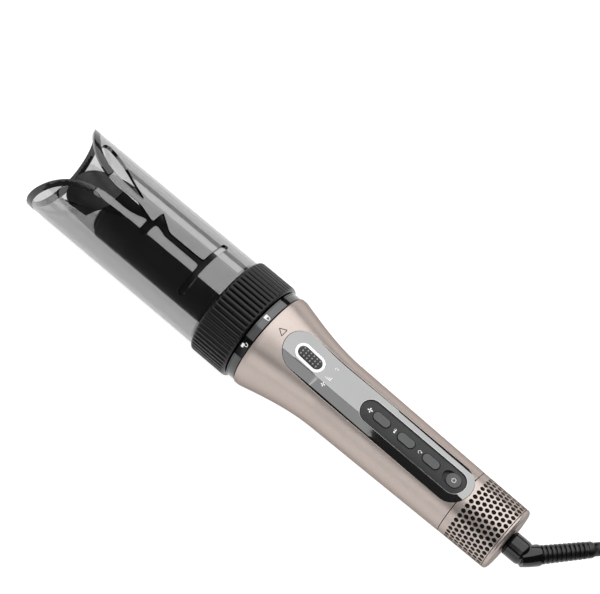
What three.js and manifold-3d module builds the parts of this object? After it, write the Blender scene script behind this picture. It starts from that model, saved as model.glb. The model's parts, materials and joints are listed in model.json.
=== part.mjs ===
// Automatic hair curler: a hot-air styler whose clear chamber winds hair round a motor-driven barrel.
// Millimetres, +Z up. The wand's axis runs along X: the curl chamber points to -X and the cord leaves at +X.
// Along the wand, stations are measured from the front edge of the handle, and radii from the wand's axis.
import * as THREE from 'three';
import { mergeVertices } from 'three/addons/utils/BufferGeometryUtils.js';
import Module from 'manifold-3d';

const wasm = await Module();
wasm.setup();

// ---- driving dimensions -------------------------------------------------------------------------
const GAP = 0.3; // clearance between pieces that touch
const FRONT_TIP = -141.6; // station of the chamber's front rim
const REAR_TIP = 168.4; // station of the swivel knuckle's end
const RING_RADIUS = 27.95; // grip ring, over its ribs: the wand rests on it
const SEAM = 125.1; // station where the handle ends and the filter cap begins
const CAP_END = 154.9;
const HANDLE_FRONT_RADIUS = 26.65;
const FLARE_START = 2.5;
const FLARE_END = 44;
const WAIST_RADIUS = 19.6;
const REAR_RADIUS = 18.2;
const CAP_END_RADIUS = 17.8;
const WALL = 2.2; // handle shells
const PANEL_FRONT = 10.6;
const PANEL_REAR = 127.8;
const PANEL_HALF = 10.4;
const PANEL_DEPTH = 2.4;
const PANEL_PROUD = 0.2;
const TRIGGER_AT = 25.5;
const TRIGGER_LENGTH = 14.1;
const TRIGGER_WIDTH = 5.7;
const LIGHT_RING_WALL = 1.2;
const BEZEL_FRONT = 59.4;
const BEZEL_REAR = 124.1;
const BEZEL_HALF = 6;
const BEZEL_SUNK = 0.5;
const BUTTON_STATIONS = { fan_button: 71.8, heat_button: 87.4, direction_button: 103.2 };
const BUTTON_LENGTH = 9.6;
const BUTTON_WIDTH = 4.4;
const BUTTON_GAP = 0.35;
const SLIDER_SLOT = [111, 121.6];
const SLIDER_THUMB = [113.6, 121.3];
const SLIDER_HALF = 3.3;
const BOARD_TOP = 12.8;
const BOARD_BOTTOM = 11.2;
const AIR_DROP = -3.5; // the blower and heater sit this far off the wand's axis, below the board
const DUCT_RADIUS = 12;
const WINDING_TURNS = 4;
const WINDING_RADIUS = 10.9;
const WINDING_START = 13;
const WINDING_LENGTH = 31;
const SPIGOT_RADIUS = 19.5;
const SPIGOT_BORE = 17.2;
const SPIGOT_FRONT = -22;
const BAND = [-5.6, -0.3];
const BAND_RADIUS = 26.25;
const BAND_BORE = 22;
const LUG_COUNT = 3;
const LUG_WIDTH = 4;
const RING = [-28.2, -5.9];
const RIB_COUNT = 60;
const RIB_DEPTH = 1;
const CHAMBER_RADIUS = 26;
const CHAMBER_BORE = 24;
const CHAMBER_REAR = -20.2;
const RIM_WIDTH = 3.5;
const RIM_STARTS = -112;
const BARREL_RADIUS = 16;
const BARREL_BORE = 14.2;
const BARREL = [-103.9, -33];
const TONGUE_TIP = -127.1;
const BASE_WALL = [-30, -24.4];
const MOTOR_RADIUS = 8.5;
const KNUCKLE_RADIUS = 6.5;
const PIVOT = 166.4;
const RELIEF_WAY = new THREE.Vector3(0.636, 0.758, -0.141).normalize();
const RELIEF_LENGTH = 34.5;
const RELIEF_START = 5.2;
const CORD_RADIUS = 3.5;
const HANK_FRONT = [252, 20]; // station and Y of the middle of the hank's first end loop
const HANK_STRAIGHT = 80; // the other end loop's middle lies this far behind it
const HANK_INNER = 18;
const HANK_OUTER = 32.3;
const HANK_HEIGHT = 28.2;
const TIE_WIDTH = 10;
const TIE_THICK = 0.8;
const HANK_LIFT = TIE_THICK + GAP; // the hank lies on its tie
const PLUG_LENGTH = 38;
const PLUG_HEIGHT = 13;
const PLUG_AT = [287, -4.4]; // station and Y of the plug's middle, on top of the hank
const PIN_LENGTH = 19;
const PIN_RADIUS = 2.4;
const PIN_SPREAD = 9.5;

const AXIS_HEIGHT = RING_RADIUS;
const MIDDLE = (FRONT_TIP + REAR_TIP) / 2;

// ---- colours ------------------------------------------------------------------------------------
const LOOKS = {
  champagne: [0xbea89e, 0.38, 0.75],
  gloss_black: [0x0b0b0c, 0.12, 0],
  bezel_grey: [0x55585a, 0.5, 0],
  button_grey: [0x6f7172, 0.5, 0],
  white_ring: [0xf2f2f0, 0.4, 0],
  satin_black: [0x1b1b1c, 0.45, 0],
  smoked_clear: [0x5a5a5a, 0.05, 0],
  rim_grey: [0x3a3a3a, 0.2, 0],
  barrel_black: [0x060606, 0.3, 0],
  charcoal: [0x1c1c1c, 0.45, 0],
  rubber_black: [0x141414, 0.7, 0],
  steel: [0xb9bbbd, 0.3, 1],
  mica: [0xb7a98a, 0.6, 0],
  heater_wire: [0x8c8580, 0.4, 1],
  board_green: [0x1d5b33, 0.5, 0],
  housing_white: [0xd8d6cf, 0.5, 0],
  capacitor_blue: [0x2b4f8c, 0.4, 0],
  brass: [0xb58b3c, 0.3, 1],
};

// ---- solids -------------------------------------------------------------------------------------
function signedVolume(geometry) {
  const p = geometry.attributes.position;
  const index = geometry.index.array;
  const [a, b, c] = [new THREE.Vector3(), new THREE.Vector3(), new THREE.Vector3()];
  let sum = 0;
  for (let i = 0; i < index.length; i += 3) {
    a.fromBufferAttribute(p, index[i]);
    b.fromBufferAttribute(p, index[i + 1]);
    c.fromBufferAttribute(p, index[i + 2]);
    sum += a.dot(b.cross(c));
  }
  return sum / 6;
}

// A closed, outward-facing geometry with shared vertices and no triangle that has shrunk to a line.
function weld(source) {
  const bare = source.index ? source.toNonIndexed() : source.clone();
  for (const name of Object.keys(bare.attributes)) {
    if (name !== 'position') bare.deleteAttribute(name);
  }
  const merged = mergeVertices(bare, 1e-4);
  const index = merged.index.array;
  const kept = [];
  for (let i = 0; i < index.length; i += 3) {
    const [a, b, c] = [index[i], index[i + 1], index[i + 2]];
    if (a !== b && b !== c && c !== a) kept.push(a, b, c);
  }
  merged.setIndex(kept);
  if (signedVolume(merged) < 0) merged.setIndex(kept.reverse());
  return merged;
}

function solid(source) {
  const geometry = weld(source);
  return new wasm.Manifold(new wasm.Mesh({
    numProp: 3,
    vertProperties: new Float32Array(geometry.attributes.position.array),
    triVerts: new Uint32Array(geometry.index.array),
  }));
}

function geometryOf(shape) {
  const mesh = shape.getMesh();
  const geometry = new THREE.BufferGeometry();
  geometry.setAttribute('position', new THREE.BufferAttribute(mesh.vertProperties, 3));
  geometry.setIndex(new THREE.BufferAttribute(mesh.triVerts, 1));
  return geometry;
}

function cut(body, ...tools) {
  return tools.reduce((left, tool) => left.subtract(tool), body);
}

function join(body, ...others) {
  return others.reduce((sum, other) => sum.add(other), body);
}

// A ring or drum about the wand's axis. The profile is a list of [station, radius].
function turned(profile, segments = 40) {
  const points = profile.map(([station, radius]) => new THREE.Vector2(radius, station));
  const touchesAxis = profile[0][1] === 0 && profile[profile.length - 1][1] === 0;
  if (!touchesAxis) points.push(points[0].clone());
  const geometry = new THREE.LatheGeometry(points, segments, Math.PI / segments);
  geometry.rotateZ(-Math.PI / 2);
  return solid(geometry);
}

function drum(from, to, radius, segments = 24) {
  return turned([[from, 0], [from, radius], [to, radius], [to, 0]], segments);
}

function tube(from, to, bore, radius, segments = 40) {
  return turned([[from, bore], [from, radius], [to, radius], [to, bore]], segments);
}

function block([x0, x1], [y0, y1], [z0, z1]) {
  const geometry = new THREE.BoxGeometry(x1 - x0, y1 - y0, z1 - z0);
  geometry.translate((x0 + x1) / 2, (y0 + y1) / 2, (z0 + z1) / 2);
  return solid(geometry);
}

// A vertical prism over an outline drawn in plan, station by Y.
function prism(outline, low, high, curveSegments = 8) {
  const geometry = new THREE.ExtrudeGeometry(outline, { depth: high - low, bevelEnabled: false, curveSegments });
  geometry.translate(0, 0, low);
  return solid(geometry);
}

// A prism along the wand's axis over an outline drawn across it: the outline's x is Y and its y is Z.
function alongWand(outline, from, to, curveSegments = 8) {
  const geometry = new THREE.ExtrudeGeometry(outline, { depth: to - from, bevelEnabled: false, curveSegments });
  const across = new THREE.Matrix4().makeBasis(
    new THREE.Vector3(0, 1, 0), new THREE.Vector3(0, 0, 1), new THREE.Vector3(1, 0, 0));
  geometry.applyMatrix4(across);
  geometry.translate(from, 0, 0);
  return solid(geometry);
}

function upright(x, y, low, high, radius, segments = 16) {
  const geometry = new THREE.CylinderGeometry(radius, radius, high - low, segments);
  geometry.rotateX(Math.PI / 2);
  geometry.translate(x, y, (low + high) / 2);
  return solid(geometry);
}

// A stadium outline along X, from one end to the other.
function stadium(from, to, half, shape = new THREE.Shape()) {
  shape.moveTo(from + half, -half);
  shape.lineTo(to - half, -half);
  shape.absarc(to - half, 0, half, -Math.PI / 2, Math.PI / 2, false);
  shape.lineTo(from + half, half);
  shape.absarc(from + half, 0, half, Math.PI / 2, Math.PI * 1.5, false);
  return shape;
}

// ---- the handle's outside -----------------------------------------------------------------------
const flare = new THREE.CubicBezierCurve(
  new THREE.Vector2(FLARE_START, HANDLE_FRONT_RADIUS), new THREE.Vector2(10.5, 24.8),
  new THREE.Vector2(27.5, 19.87), new THREE.Vector2(FLARE_END, WAIST_RADIUS));

// The handle's outline from its front edge to the seam, moved in by some depth.
function handleLine(inward, to = SEAM, toRadius = REAR_RADIUS) {
  const points = [[0, HANDLE_FRONT_RADIUS - inward]];
  for (const p of flare.getPoints(8)) points.push([p.x, p.y - inward]);
  points.push([to, toRadius - inward]);
  return points;
}

// The radius of the handle at a station.
function handleRadius(station) {
  const line = handleLine(0);
  const next = Math.max(1, line.findIndex(([at]) => at >= station));
  const [[x0, r0], [x1, r1]] = [line[next - 1], line[next]];
  return r0 + (r1 - r0) * (station - x0) / (x1 - x0);
}

// A layer of the handle's surface between two depths, running on past the seam under the panel's nose.
function skin(outer, inner) {
  const past = SEAM + 6;
  const pastRadius = REAR_RADIUS - 0.08;
  return turned([...handleLine(outer, past, pastRadius), ...handleLine(inner, past, pastRadius).reverse()], 40);
}

// ---- assembly -----------------------------------------------------------------------------------
const curler = new THREE.Group();
const wand = new THREE.Group();
wand.position.set(-MIDDLE, 0, AXIS_HEIGHT);
curler.add(wand);

function part(name, look, shape) {
  const [color, roughness, metalness] = LOOKS[look];
  const material = new THREE.MeshStandardMaterial({ color, roughness, metalness });
  const mesh = new THREE.Mesh(shape.isBufferGeometry ? weld(shape) : geometryOf(shape), material);
  mesh.name = name;
  mesh.geometry.computeVertexNormals();
  wand.add(mesh);
  return mesh;
}

// ---- handle shells ------------------------------------------------------------------------------
function panelOutline(spread) {
  return stadium(PANEL_FRONT - spread, PANEL_REAR + spread, PANEL_HALF + spread);
}

function handleShells() {
  const shell = turned([...handleLine(0), ...handleLine(WALL).reverse()], 40);
  const above = block([-5, SEAM + 5], [-40, 40], [GAP / 2, 40]);
  const below = block([-5, SEAM + 5], [-40, 40], [-40, -GAP / 2]);
  part('lower_shell', 'champagne', shell.intersect(below));
  const window = prism(panelOutline(GAP), 5, 40);
  part('upper_shell', 'champagne', cut(shell.intersect(above), window));
}

// ---- control panel ------------------------------------------------------------------------------
function buttonOutline(station, spread, half = BUTTON_WIDTH / 2, length = BUTTON_LENGTH) {
  return stadium(station - length / 2 - spread, station + length / 2 + spread, half + spread);
}

function triggerOutline(spread) {
  return buttonOutline(TRIGGER_AT, spread, TRIGGER_WIDTH / 2, TRIGGER_LENGTH);
}

function controlPanel() {
  const panel = skin(-PANEL_PROUD, PANEL_DEPTH).intersect(prism(panelOutline(0), 5, 40));
  const bezelWindow = prism(stadium(BEZEL_FRONT - GAP, BEZEL_REAR + GAP, BEZEL_HALF + GAP), 5, 40);
  const triggerWindow = prism(triggerOutline(GAP + LIGHT_RING_WALL + GAP), 5, 40);
  part('control_panel', 'gloss_black', cut(panel, bezelWindow, triggerWindow));
}

function buttonBezel() {
  const plate = skin(BEZEL_SUNK, PANEL_DEPTH).intersect(prism(stadium(BEZEL_FRONT, BEZEL_REAR, BEZEL_HALF), 5, 40));
  const holes = Object.values(BUTTON_STATIONS).map((at) => prism(buttonOutline(at, BUTTON_GAP), 5, 40));
  const slot = prism(stadium(SLIDER_SLOT[0], SLIDER_SLOT[1], SLIDER_HALF + GAP), 5, 40);
  part('button_bezel', 'bezel_grey', cut(plate, ...holes, slot));
}

function buttons() {
  for (const [name, at] of Object.entries(BUTTON_STATIONS)) {
    const cap = skin(-0.1, 2.9).intersect(prism(buttonOutline(at, 0), 5, 40));
    part(name, 'button_grey', cap);
  }
  const thumb = skin(-0.3, 2.6).intersect(prism(stadium(SLIDER_THUMB[0], SLIDER_THUMB[1], SLIDER_HALF), 5, 40));
  part('power_slider', 'button_grey', thumb);
}

function trigger() {
  const band = prism(triggerOutline(GAP + LIGHT_RING_WALL), 5, 40);
  const ring = skin(-0.35, PANEL_DEPTH).intersect(cut(band, prism(triggerOutline(GAP), 5, 40)));
  part('trigger_light_ring', 'white_ring', ring);
  part('trigger_button', 'bezel_grey', skin(-1, 2.9).intersect(prism(triggerOutline(0), 5, 40)));
}

// ---- electronics under the panel ----------------------------------------------------------------
function switchOn(name, station, height) {
  const body = block([station - 3, station + 3], [-3, 3], [BOARD_TOP + GAP, height - 1]);
  part(name, 'satin_black', join(body, upright(station, 0, height - 1.2, height, 1.5, 12)));
}

function boardScrew(name, x, y) {
  const head = upright(x, y, BOARD_TOP + GAP, BOARD_TOP + 1.5, 2, 12);
  const recess = upright(x, y, BOARD_TOP + 1, BOARD_TOP + 3, 0.8, 6);
  part(name, 'steel', cut(join(head, upright(x, y, 9.4, BOARD_TOP + 1, 1.1, 10)), recess));
}

function electronics() {
  const screws = [[52, 6.5], [52, -6.5]];
  const board = block([16, 121.4], [-9, 9], [BOARD_BOTTOM, BOARD_TOP]);
  const holes = screws.map(([x, y]) => upright(x, y, 5, 20, 1.4, 10));
  part('control_board', 'board_green', cut(board, ...holes));
  screws.forEach(([x, y], i) => boardScrew(`board_screw_${i + 1}`, x, y));
  switchOn('trigger_switch', TRIGGER_AT, 16.2);
  for (const [name, at] of Object.entries(BUTTON_STATIONS)) {
    switchOn(name.replace('button', 'switch'), at, handleRadius(at) - 2.9 - 0.9);
  }
  part('power_switch', 'satin_black', block([112, 121], [-3, 3], [BOARD_TOP + GAP, 15]));
  part('status_light_guide', 'housing_white', block([35, 42], [-4, 4], [BOARD_TOP + GAP, 15.4]));
  part('mains_capacitor', 'capacitor_blue', block([103, 116], [-6, 6], [4.5, BOARD_BOTTOM - GAP]));
}

// ---- air path: blower, heater and nose ----------------------------------------------------------
function dropped(shape) {
  return shape.translate([0, 0, AIR_DROP]);
}

function starOutline(count, high, low, bore) {
  const shape = new THREE.Shape();
  const steps = count * 4;
  for (let i = 0; i < steps; i += 1) {
    const angle = i * 2 * Math.PI / steps;
    const radius = i % 4 < 2 ? high : low;
    shape[i ? 'lineTo' : 'moveTo'](radius * Math.cos(angle), radius * Math.sin(angle));
  }
  shape.closePath();
  const hole = new THREE.Path();
  hole.absarc(0, 0, bore, 0, 2 * Math.PI, true);
  shape.holes.push(hole);
  return shape;
}

function impeller() {
  const hub = turned([[83.6, 0], [83.6, 4.6], [91, 3.4], [93, 1.5], [93, 0]], 24);
  const blades = [];
  const count = 9;
  for (let i = 0; i < count; i += 1) {
    const geometry = new THREE.BoxGeometry(8.6, 1, 7.2);
    geometry.rotateZ(0.6);
    geometry.translate(87.6, 0, 7);
    geometry.rotateX(i * 2 * Math.PI / count);
    blades.push(solid(geometry));
  }
  part('impeller', 'satin_black', dropped(join(hub, ...blades)));
}

function blower() {
  part('blower_housing', 'satin_black', dropped(tube(56, 100, DUCT_RADIUS - 0.9, DUCT_RADIUS, 32)));
  part('blower_motor', 'steel', dropped(turned([[61, 0], [61, 6.5], [63, 7.4], [82, 7.4], [82, 2.5], [83.2, 2.5], [83.2, 0]], 28)));
  for (const [name, at] of [['motor_mount_front', 64], ['motor_mount_rear', 77]]) {
    const outline = starOutline(5, DUCT_RADIUS - 1.25, 8.9, 7.75);
    part(name, 'rubber_black', dropped(alongWand(outline, at, at + 3.5, 10)));
  }
  impeller();
}

function crossOutline(half, thick) {
  const shape = new THREE.Shape();
  const corners = [[half, -thick], [half, thick], [thick, thick], [thick, half], [-thick, half], [-thick, thick]];
  const points = [...corners, ...corners.map(([x, y]) => [-x, -y])];
  points.forEach(([x, y], i) => shape[i ? 'lineTo' : 'moveTo'](x, y));
  shape.closePath();
  return shape;
}

class Winding extends THREE.Curve {
  getPoint(t, target = new THREE.Vector3()) {
    const angle = t * WINDING_TURNS * 2 * Math.PI;
    const y = WINDING_RADIUS * Math.cos(angle);
    return target.set(WINDING_START + WINDING_LENGTH * t, y, WINDING_RADIUS * Math.sin(angle));
  }
}

function heater() {
  part('heater_sleeve', 'mica', dropped(tube(8, 50, 12.1, 12.6, 32)));
  part('heater_frame', 'mica', dropped(alongWand(crossOutline(9.8, 0.4), 11, 46)));
  const half = 0.4;
  const ribbon = new THREE.Shape();
  [[-half, -half], [half, -half], [half, half], [-half, half]].forEach(([x, y], i) => {
    ribbon[i ? 'lineTo' : 'moveTo'](x, y);
  });
  const winding = new THREE.ExtrudeGeometry(ribbon, {
    steps: WINDING_TURNS * 12, extrudePath: new Winding(), bevelEnabled: false });
  part('heater_winding', 'heater_wire', dropped(solid(winding)));
  part('thermal_cutout', 'steel', dropped(block([26, 34], [2, 6], [1, 4])));
}

function nose() {
  const collar = [[SPIGOT_FRONT, SPIGOT_BORE], [SPIGOT_FRONT, SPIGOT_RADIUS], [0.6, SPIGOT_RADIUS],
    [0.6, 24.1], [3, 24.1], [3, SPIGOT_BORE]];
  part('front_collar', 'satin_black', turned(collar, 48));
  part('contact_block', 'housing_white', block([-21.6, 4], [-5, 5], [12.2, 15.6]));
}

// ---- rear: intake, filter and cord swivel -------------------------------------------------------
function intake() {
  const rim = tube(121.8, SEAM - GAP, 13.4, 15.6, 40);
  const sleeve = tube(119, 151.5, 7.3, 8.8, 28);
  const spokes = [0, 1, 2, 3].map((i) => {
    const geometry = new THREE.BoxGeometry(2.6, 2, 5.6);
    geometry.translate(123.2, 0, 11.2);
    geometry.rotateX(i * Math.PI / 2 + Math.PI / 4);
    return solid(geometry);
  });
  part('intake_frame', 'satin_black', join(rim, sleeve, ...spokes));
  part('inner_filter', 'steel', tube(SEAM + 0.4, 151, 14.3, 15, 36));
}

function filterCap() {
  const wall = 1.6;
  const start = SEAM + GAP;
  const lip = 3;
  const outline = [[start, REAR_RADIUS], [CAP_END - lip, CAP_END_RADIUS], [CAP_END - 0.8, CAP_END_RADIUS - 0.7],
    [CAP_END, CAP_END_RADIUS - 2.6], [CAP_END, 7.4], [CAP_END - 1.8, 7.4], [CAP_END - 1.8, CAP_END_RADIUS - wall],
    [start, REAR_RADIUS - wall]];
  const holes = [];
  const rows = [134.8, 143.5];
  const around = 12;
  rows.forEach((at, row) => {
    for (let i = 0; i < around; i += 1) {
      const geometry = new THREE.CylinderGeometry(1.6, 1.6, 6, 6);
      geometry.rotateX(Math.PI / 2);
      geometry.translate(at, 0, 17);
      geometry.rotateX((i + (row % 2) / 2) * 2 * Math.PI / around);
      holes.push(solid(geometry));
    }
  });
  part('filter_cap', 'champagne', cut(turned(outline, 40), prism(panelOutline(GAP), 5, 40), ...holes));
}

// A shape turned about the X axis, moved so that its axis leaves the swivel's pivot along the relief.
function alongRelief(profile, segments) {
  const points = profile.map(([along, radius]) => new THREE.Vector2(radius, along));
  const geometry = new THREE.LatheGeometry(points, segments);
  const turn = new THREE.Quaternion().setFromUnitVectors(new THREE.Vector3(0, 1, 0), RELIEF_WAY);
  geometry.applyQuaternion(turn);
  geometry.translate(PIVOT, 0, 0);
  return solid(geometry);
}

function swivel() {
  part('swivel_socket', 'satin_black', turned([[138, 5.3], [138, 7], [152.8, 7], [152.8, 5.3]], 28));
  const knuckle = turned([[140, 0], [140, 5], [CAP_END + 0.4, 5], [CAP_END + 0.4, KNUCKLE_RADIUS], [163.5, KNUCKLE_RADIUS],
    [166.2, 5.6], [167.8, 3.4], [REAR_TIP, 0]], 28);
  const socket = alongRelief([[0, 0], [0, 5.1], [20, 5.1], [20, 0]], 24);
  part('swivel_knuckle', 'rubber_black', cut(knuckle, socket));
  part('strain_relief', 'rubber_black', alongRelief(reliefProfile(), 20));
}

// The strain relief tapers to the cord, with a collar at the swivel and a chamfered end.
function reliefProfile() {
  return [[0.6, 0], [0.6, 4.75], [RELIEF_START + 3, 4.75], [RELIEF_LENGTH - 0.8, 4.25], [RELIEF_LENGTH, 3.6],
    [RELIEF_LENGTH, 0]];
}

// ---- attachment ---------------------------------------------------------------------------------
function lugs(radius, width, from, to) {
  return Array.from({ length: LUG_COUNT }, (_, i) => {
    const geometry = new THREE.BoxGeometry(to - from, width, radius - 21);
    geometry.translate((from + to) / 2, 0, (radius + 21) / 2);
    geometry.rotateX((i + 0.5) * 2 * Math.PI / LUG_COUNT);
    return solid(geometry);
  });
}

function locking() {
  const ring = tube(BAND[0] + 0.2, BAND[1], SPIGOT_RADIUS + GAP, 21.6, 40);
  part('bayonet_ring', 'steel', join(ring, ...lugs(23.1, LUG_WIDTH, BAND[0] + 0.6, BAND[1] - 0.4)));
  const band = tube(BAND[0], BAND[1], BAND_BORE, BAND_RADIUS, 48);
  part('lock_band', 'gloss_black', cut(band, ...lugs(23.5, LUG_WIDTH + 0.8, BAND[0] - 1, BAND[1] + 1)));
}

// The ribbed ring's section: a flat land and a flat groove for each rib, with a land straight down.
function ribbedOutline() {
  const points = [];
  const pitch = 2 * Math.PI / RIB_COUNT;
  const land = 0.27; // half of a rib's flat top, as a share of the pitch
  const groove = RING_RADIUS - RIB_DEPTH;
  const corners = [[-land, RING_RADIUS], [land, RING_RADIUS], [0.36, groove], [0.64, groove]];
  for (let i = 0; i < RIB_COUNT; i += 1) {
    const middle = i * pitch - Math.PI / 2;
    for (const [turn, radius] of corners) {
      const angle = middle + turn * pitch;
      const reach = radius === RING_RADIUS ? radius / Math.cos(land * pitch) : radius;
      points.push(new THREE.Vector2(reach * Math.cos(angle), reach * Math.sin(angle)));
    }
  }
  return new THREE.Shape(points);
}

function gripRing() {
  const body = alongWand(ribbedOutline(), RING[0], RING[1]);
  const front = drum(RING[0] - 1, CHAMBER_REAR + GAP, CHAMBER_RADIUS + GAP, 48);
  const rear = drum(CHAMBER_REAR, RING[1] + 1, 24.6, 48);
  part('grip_ring', 'satin_black', cut(body, front, rear));
}

// The scoop at the chamber's front, in plan: everything in front of a curved edge, moved back by some distance.
function scoopOutline(back, starts) {
  const edge = new THREE.CubicBezierCurve(
    new THREE.Vector2(-100, 3.1), new THREE.Vector2(-122, 3.6), new THREE.Vector2(-131, 12), new THREE.Vector2(FRONT_TIP, 26.4));
  const points = [];
  const steps = 10;
  for (let i = 0; i <= steps; i += 1) {
    const p = edge.getPoint(i / steps);
    const way = edge.getTangent(i / steps);
    const [x, y] = [p.x + way.y * back, p.y - way.x * back];
    if (x <= starts) points.push([x, y]);
  }
  const side = [...points, [FRONT_TIP + back, 30], [FRONT_TIP - 10, 30]];
  const shape = new THREE.Shape();
  [...side, ...side.map(([x, y]) => [x, -y]).reverse()].forEach(([x, y], i) => {
    shape[i ? 'lineTo' : 'moveTo'](x, y);
  });
  shape.closePath();
  return shape;
}

function frontOf(back, starts) {
  const scoop = prism(scoopOutline(back, starts), 0, 40);
  const low = block([FRONT_TIP - 10, FRONT_TIP + back], [-40, 40], [-40, 1]);
  return join(scoop, low);
}

// The slit that hair enters by, in plan: a funnel, a hooked gate, a straight slot and a cross bar.
function slitOutline() {
  const shape = new THREE.Shape();
  const upper = [[-104, 3.2], [-90, 3.4], [-80.4, 0.8], [-79, 0.8], [-78.5, 7.5], [-68.2, 1.65], [-48, 1.65], [-46.4, 3.2]];
  const lower = [[-46.4, -3.2], [-48, -1.65], [-68.2, -1.65], [-74.7, -0.4], [-76.8, -1.9], [-76.8, -6], [-77.8, -7.7],
    [-80.5, -7.7], [-81.5, -6], [-81.5, -0.9], [-90, -3.2], [-104, -3.2]];
  upper.forEach(([x, y], i) => shape[i ? 'lineTo' : 'moveTo'](x, y));
  shape.absarc(-44.8, 16.1, 1.6, Math.PI, 0, true);
  shape.absarc(-44.8, -16.1, 1.6, 0, -Math.PI, true);
  lower.forEach(([x, y]) => shape.lineTo(x, y));
  shape.closePath();
  return shape;
}

// The window in each lobe beside the slit, in plan: narrow at the rear and wide at the front.
function lobeWindow(side) {
  const points = [[-91, 6.6], [-110, 7.8], [-122, 11.6], [-127, 15.6], [-125.4, 19], [-114, 16.4], [-100, 10.6]];
  const curve = new THREE.SplineCurve([...points, points[0]].map(([x, y]) => new THREE.Vector2(x, y * side)));
  return new THREE.Shape(curve.getPoints(18).slice(0, -1));
}

function chamber() {
  const wall = tube(FRONT_TIP, CHAMBER_REAR, CHAMBER_BORE, CHAMBER_RADIUS, 48);
  const tools = [frontOf(0, 0), frontOf(RIM_WIDTH + GAP, RIM_STARTS + GAP).intersect(block([-200, RIM_STARTS + GAP], [-40, 40], [-40, 40]))];
  const slit = prism(slitOutline(), 5, 40, 5);
  const windows = [prism(lobeWindow(1), 5, 40), prism(lobeWindow(-1), 5, 40)];
  part('clear_chamber', 'smoked_clear', cut(wall, ...tools, slit, ...windows));
  const rimZone = frontOf(RIM_WIDTH, RIM_STARTS).intersect(block([-200, RIM_STARTS], [-40, 40], [-40, 40]));
  part('chamber_rim', 'rim_grey', cut(wall.intersect(rimZone), frontOf(0, 0)));
}

function attachmentBase() {
  const [front, back] = BASE_WALL;
  const profile = [[front, 10], [front, 23.7], [CHAMBER_REAR - 0.4, 23.7], [CHAMBER_REAR + GAP, 23.7], [CHAMBER_REAR + GAP, 24.2],
    [-6.1, 24.2], [-6.1, SPIGOT_RADIUS + 0.4], [back, SPIGOT_RADIUS + 0.4], [back, 10]];
  const count = 8;
  const holes = Array.from({ length: count }, (_, i) => {
    const geometry = new THREE.CylinderGeometry(1.2, 1.2, 10, 6);
    geometry.rotateZ(Math.PI / 2);
    geometry.translate((front + back) / 2, 0, 11.6);
    geometry.rotateX(i * 2 * Math.PI / count);
    return solid(geometry);
  });
  part('attachment_base', 'satin_black', cut(turned(profile, 40), ...holes));
  part('contact_board', 'board_green', tube(back + GAP, SPIGOT_FRONT - 0.5, 13.3, 16.6, 36));
  part('curl_motor', 'steel', turned([[-78, 0], [-78, MOTOR_RADIUS], [-34, MOTOR_RADIUS], [-34, 9.7], [back, 9.7], [back, 0]], 28));
  part('barrel_bearing', 'brass', tube(-38, front - GAP, 13.05, BARREL_BORE - 0.35, 36));
}

// ---- barrel -------------------------------------------------------------------------------------
// The finger that catches the hair, in plan: a rounded tip and a slanting edge that leads to the notch.
function tongueOutline() {
  const shape = new THREE.Shape();
  shape.moveTo(-104.2, -4.7);
  shape.lineTo(-111, -13.9);
  shape.lineTo(TONGUE_TIP + 5, -13.9);
  shape.quadraticCurveTo(TONGUE_TIP, -13.6, TONGUE_TIP, -8);
  shape.lineTo(TONGUE_TIP, -4);
  shape.quadraticCurveTo(TONGUE_TIP, 4, -118, 8);
  shape.quadraticCurveTo(-110, 12, -104.2, 15.4);
  shape.closePath();
  return shape;
}

function barrel() {
  part('barrel_shell', 'barrel_black', tube(BARREL[0], BARREL[1], BARREL_BORE, BARREL_RADIUS, 48));
  const finger = tube(TONGUE_TIP - 1, BARREL[0] - GAP, 13, BARREL_RADIUS, 48).intersect(prism(tongueOutline(), 2, 30));
  part('barrel_nose', 'charcoal', join(finger, drum(-107, -97, 13.85, 36)));
  const hub = turned([[-88, 2], [-88, 13.85], [-84, 13.85], [-84, 6], [-80, 6], [-80, 2]], 28);
  part('drive_hub', 'satin_black', hub);
  part('drive_shaft', 'steel', drum(-91, -78.3, 1.7, 16));
}

// ---- cord ---------------------------------------------------------------------------------------
const FLOOR = -AXIS_HEIGHT;
const RELIEF_END = RELIEF_WAY.clone().multiplyScalar(RELIEF_LENGTH).add(new THREE.Vector3(PIVOT, 0, 0));

// The cord's two free stretches, with heights above the floor: from the relief to the hank, and from the hank's
// top to the plug.
const LEAD_ROUTE = [[191.2, 29.6, 22.4], [197, 36.6, 19.9], [204.4, 43.1, 15.9], [213.3, 47.3, 11.8], [223.1, 48.7, 8.1], [228, 48.7, 6.8]];
const TAIL_ROUTE = [[339, -7.8, 33.6], [332, -8.6, 35], [320, -7, 36.6], [307, -4.4, 37.2]];

function roundTube(points, radius, steps, sides = 10) {
  const section = new THREE.Shape();
  section.absarc(0, 0, radius, 0, 2 * Math.PI, false);
  const path = new THREE.CatmullRomCurve3(points, false, 'centripetal');
  return new THREE.ExtrudeGeometry(section, { steps, curveSegments: sides, extrudePath: path, bevelEnabled: false });
}

function aboveFloor([x, y, z]) {
  return new THREE.Vector3(x, y, FLOOR + z);
}

// A long loop in plan, its sides that far from the line between the hank's two end loops.
function loopOutline(radius) {
  const [front, y] = HANK_FRONT;
  const shape = new THREE.Shape();
  shape.absarc(front, y, radius, Math.PI / 2, 3 * Math.PI / 2, false);
  shape.absarc(front + HANK_STRAIGHT, y, radius, -Math.PI / 2, Math.PI / 2, false);
  shape.closePath();
  return shape;
}

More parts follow.
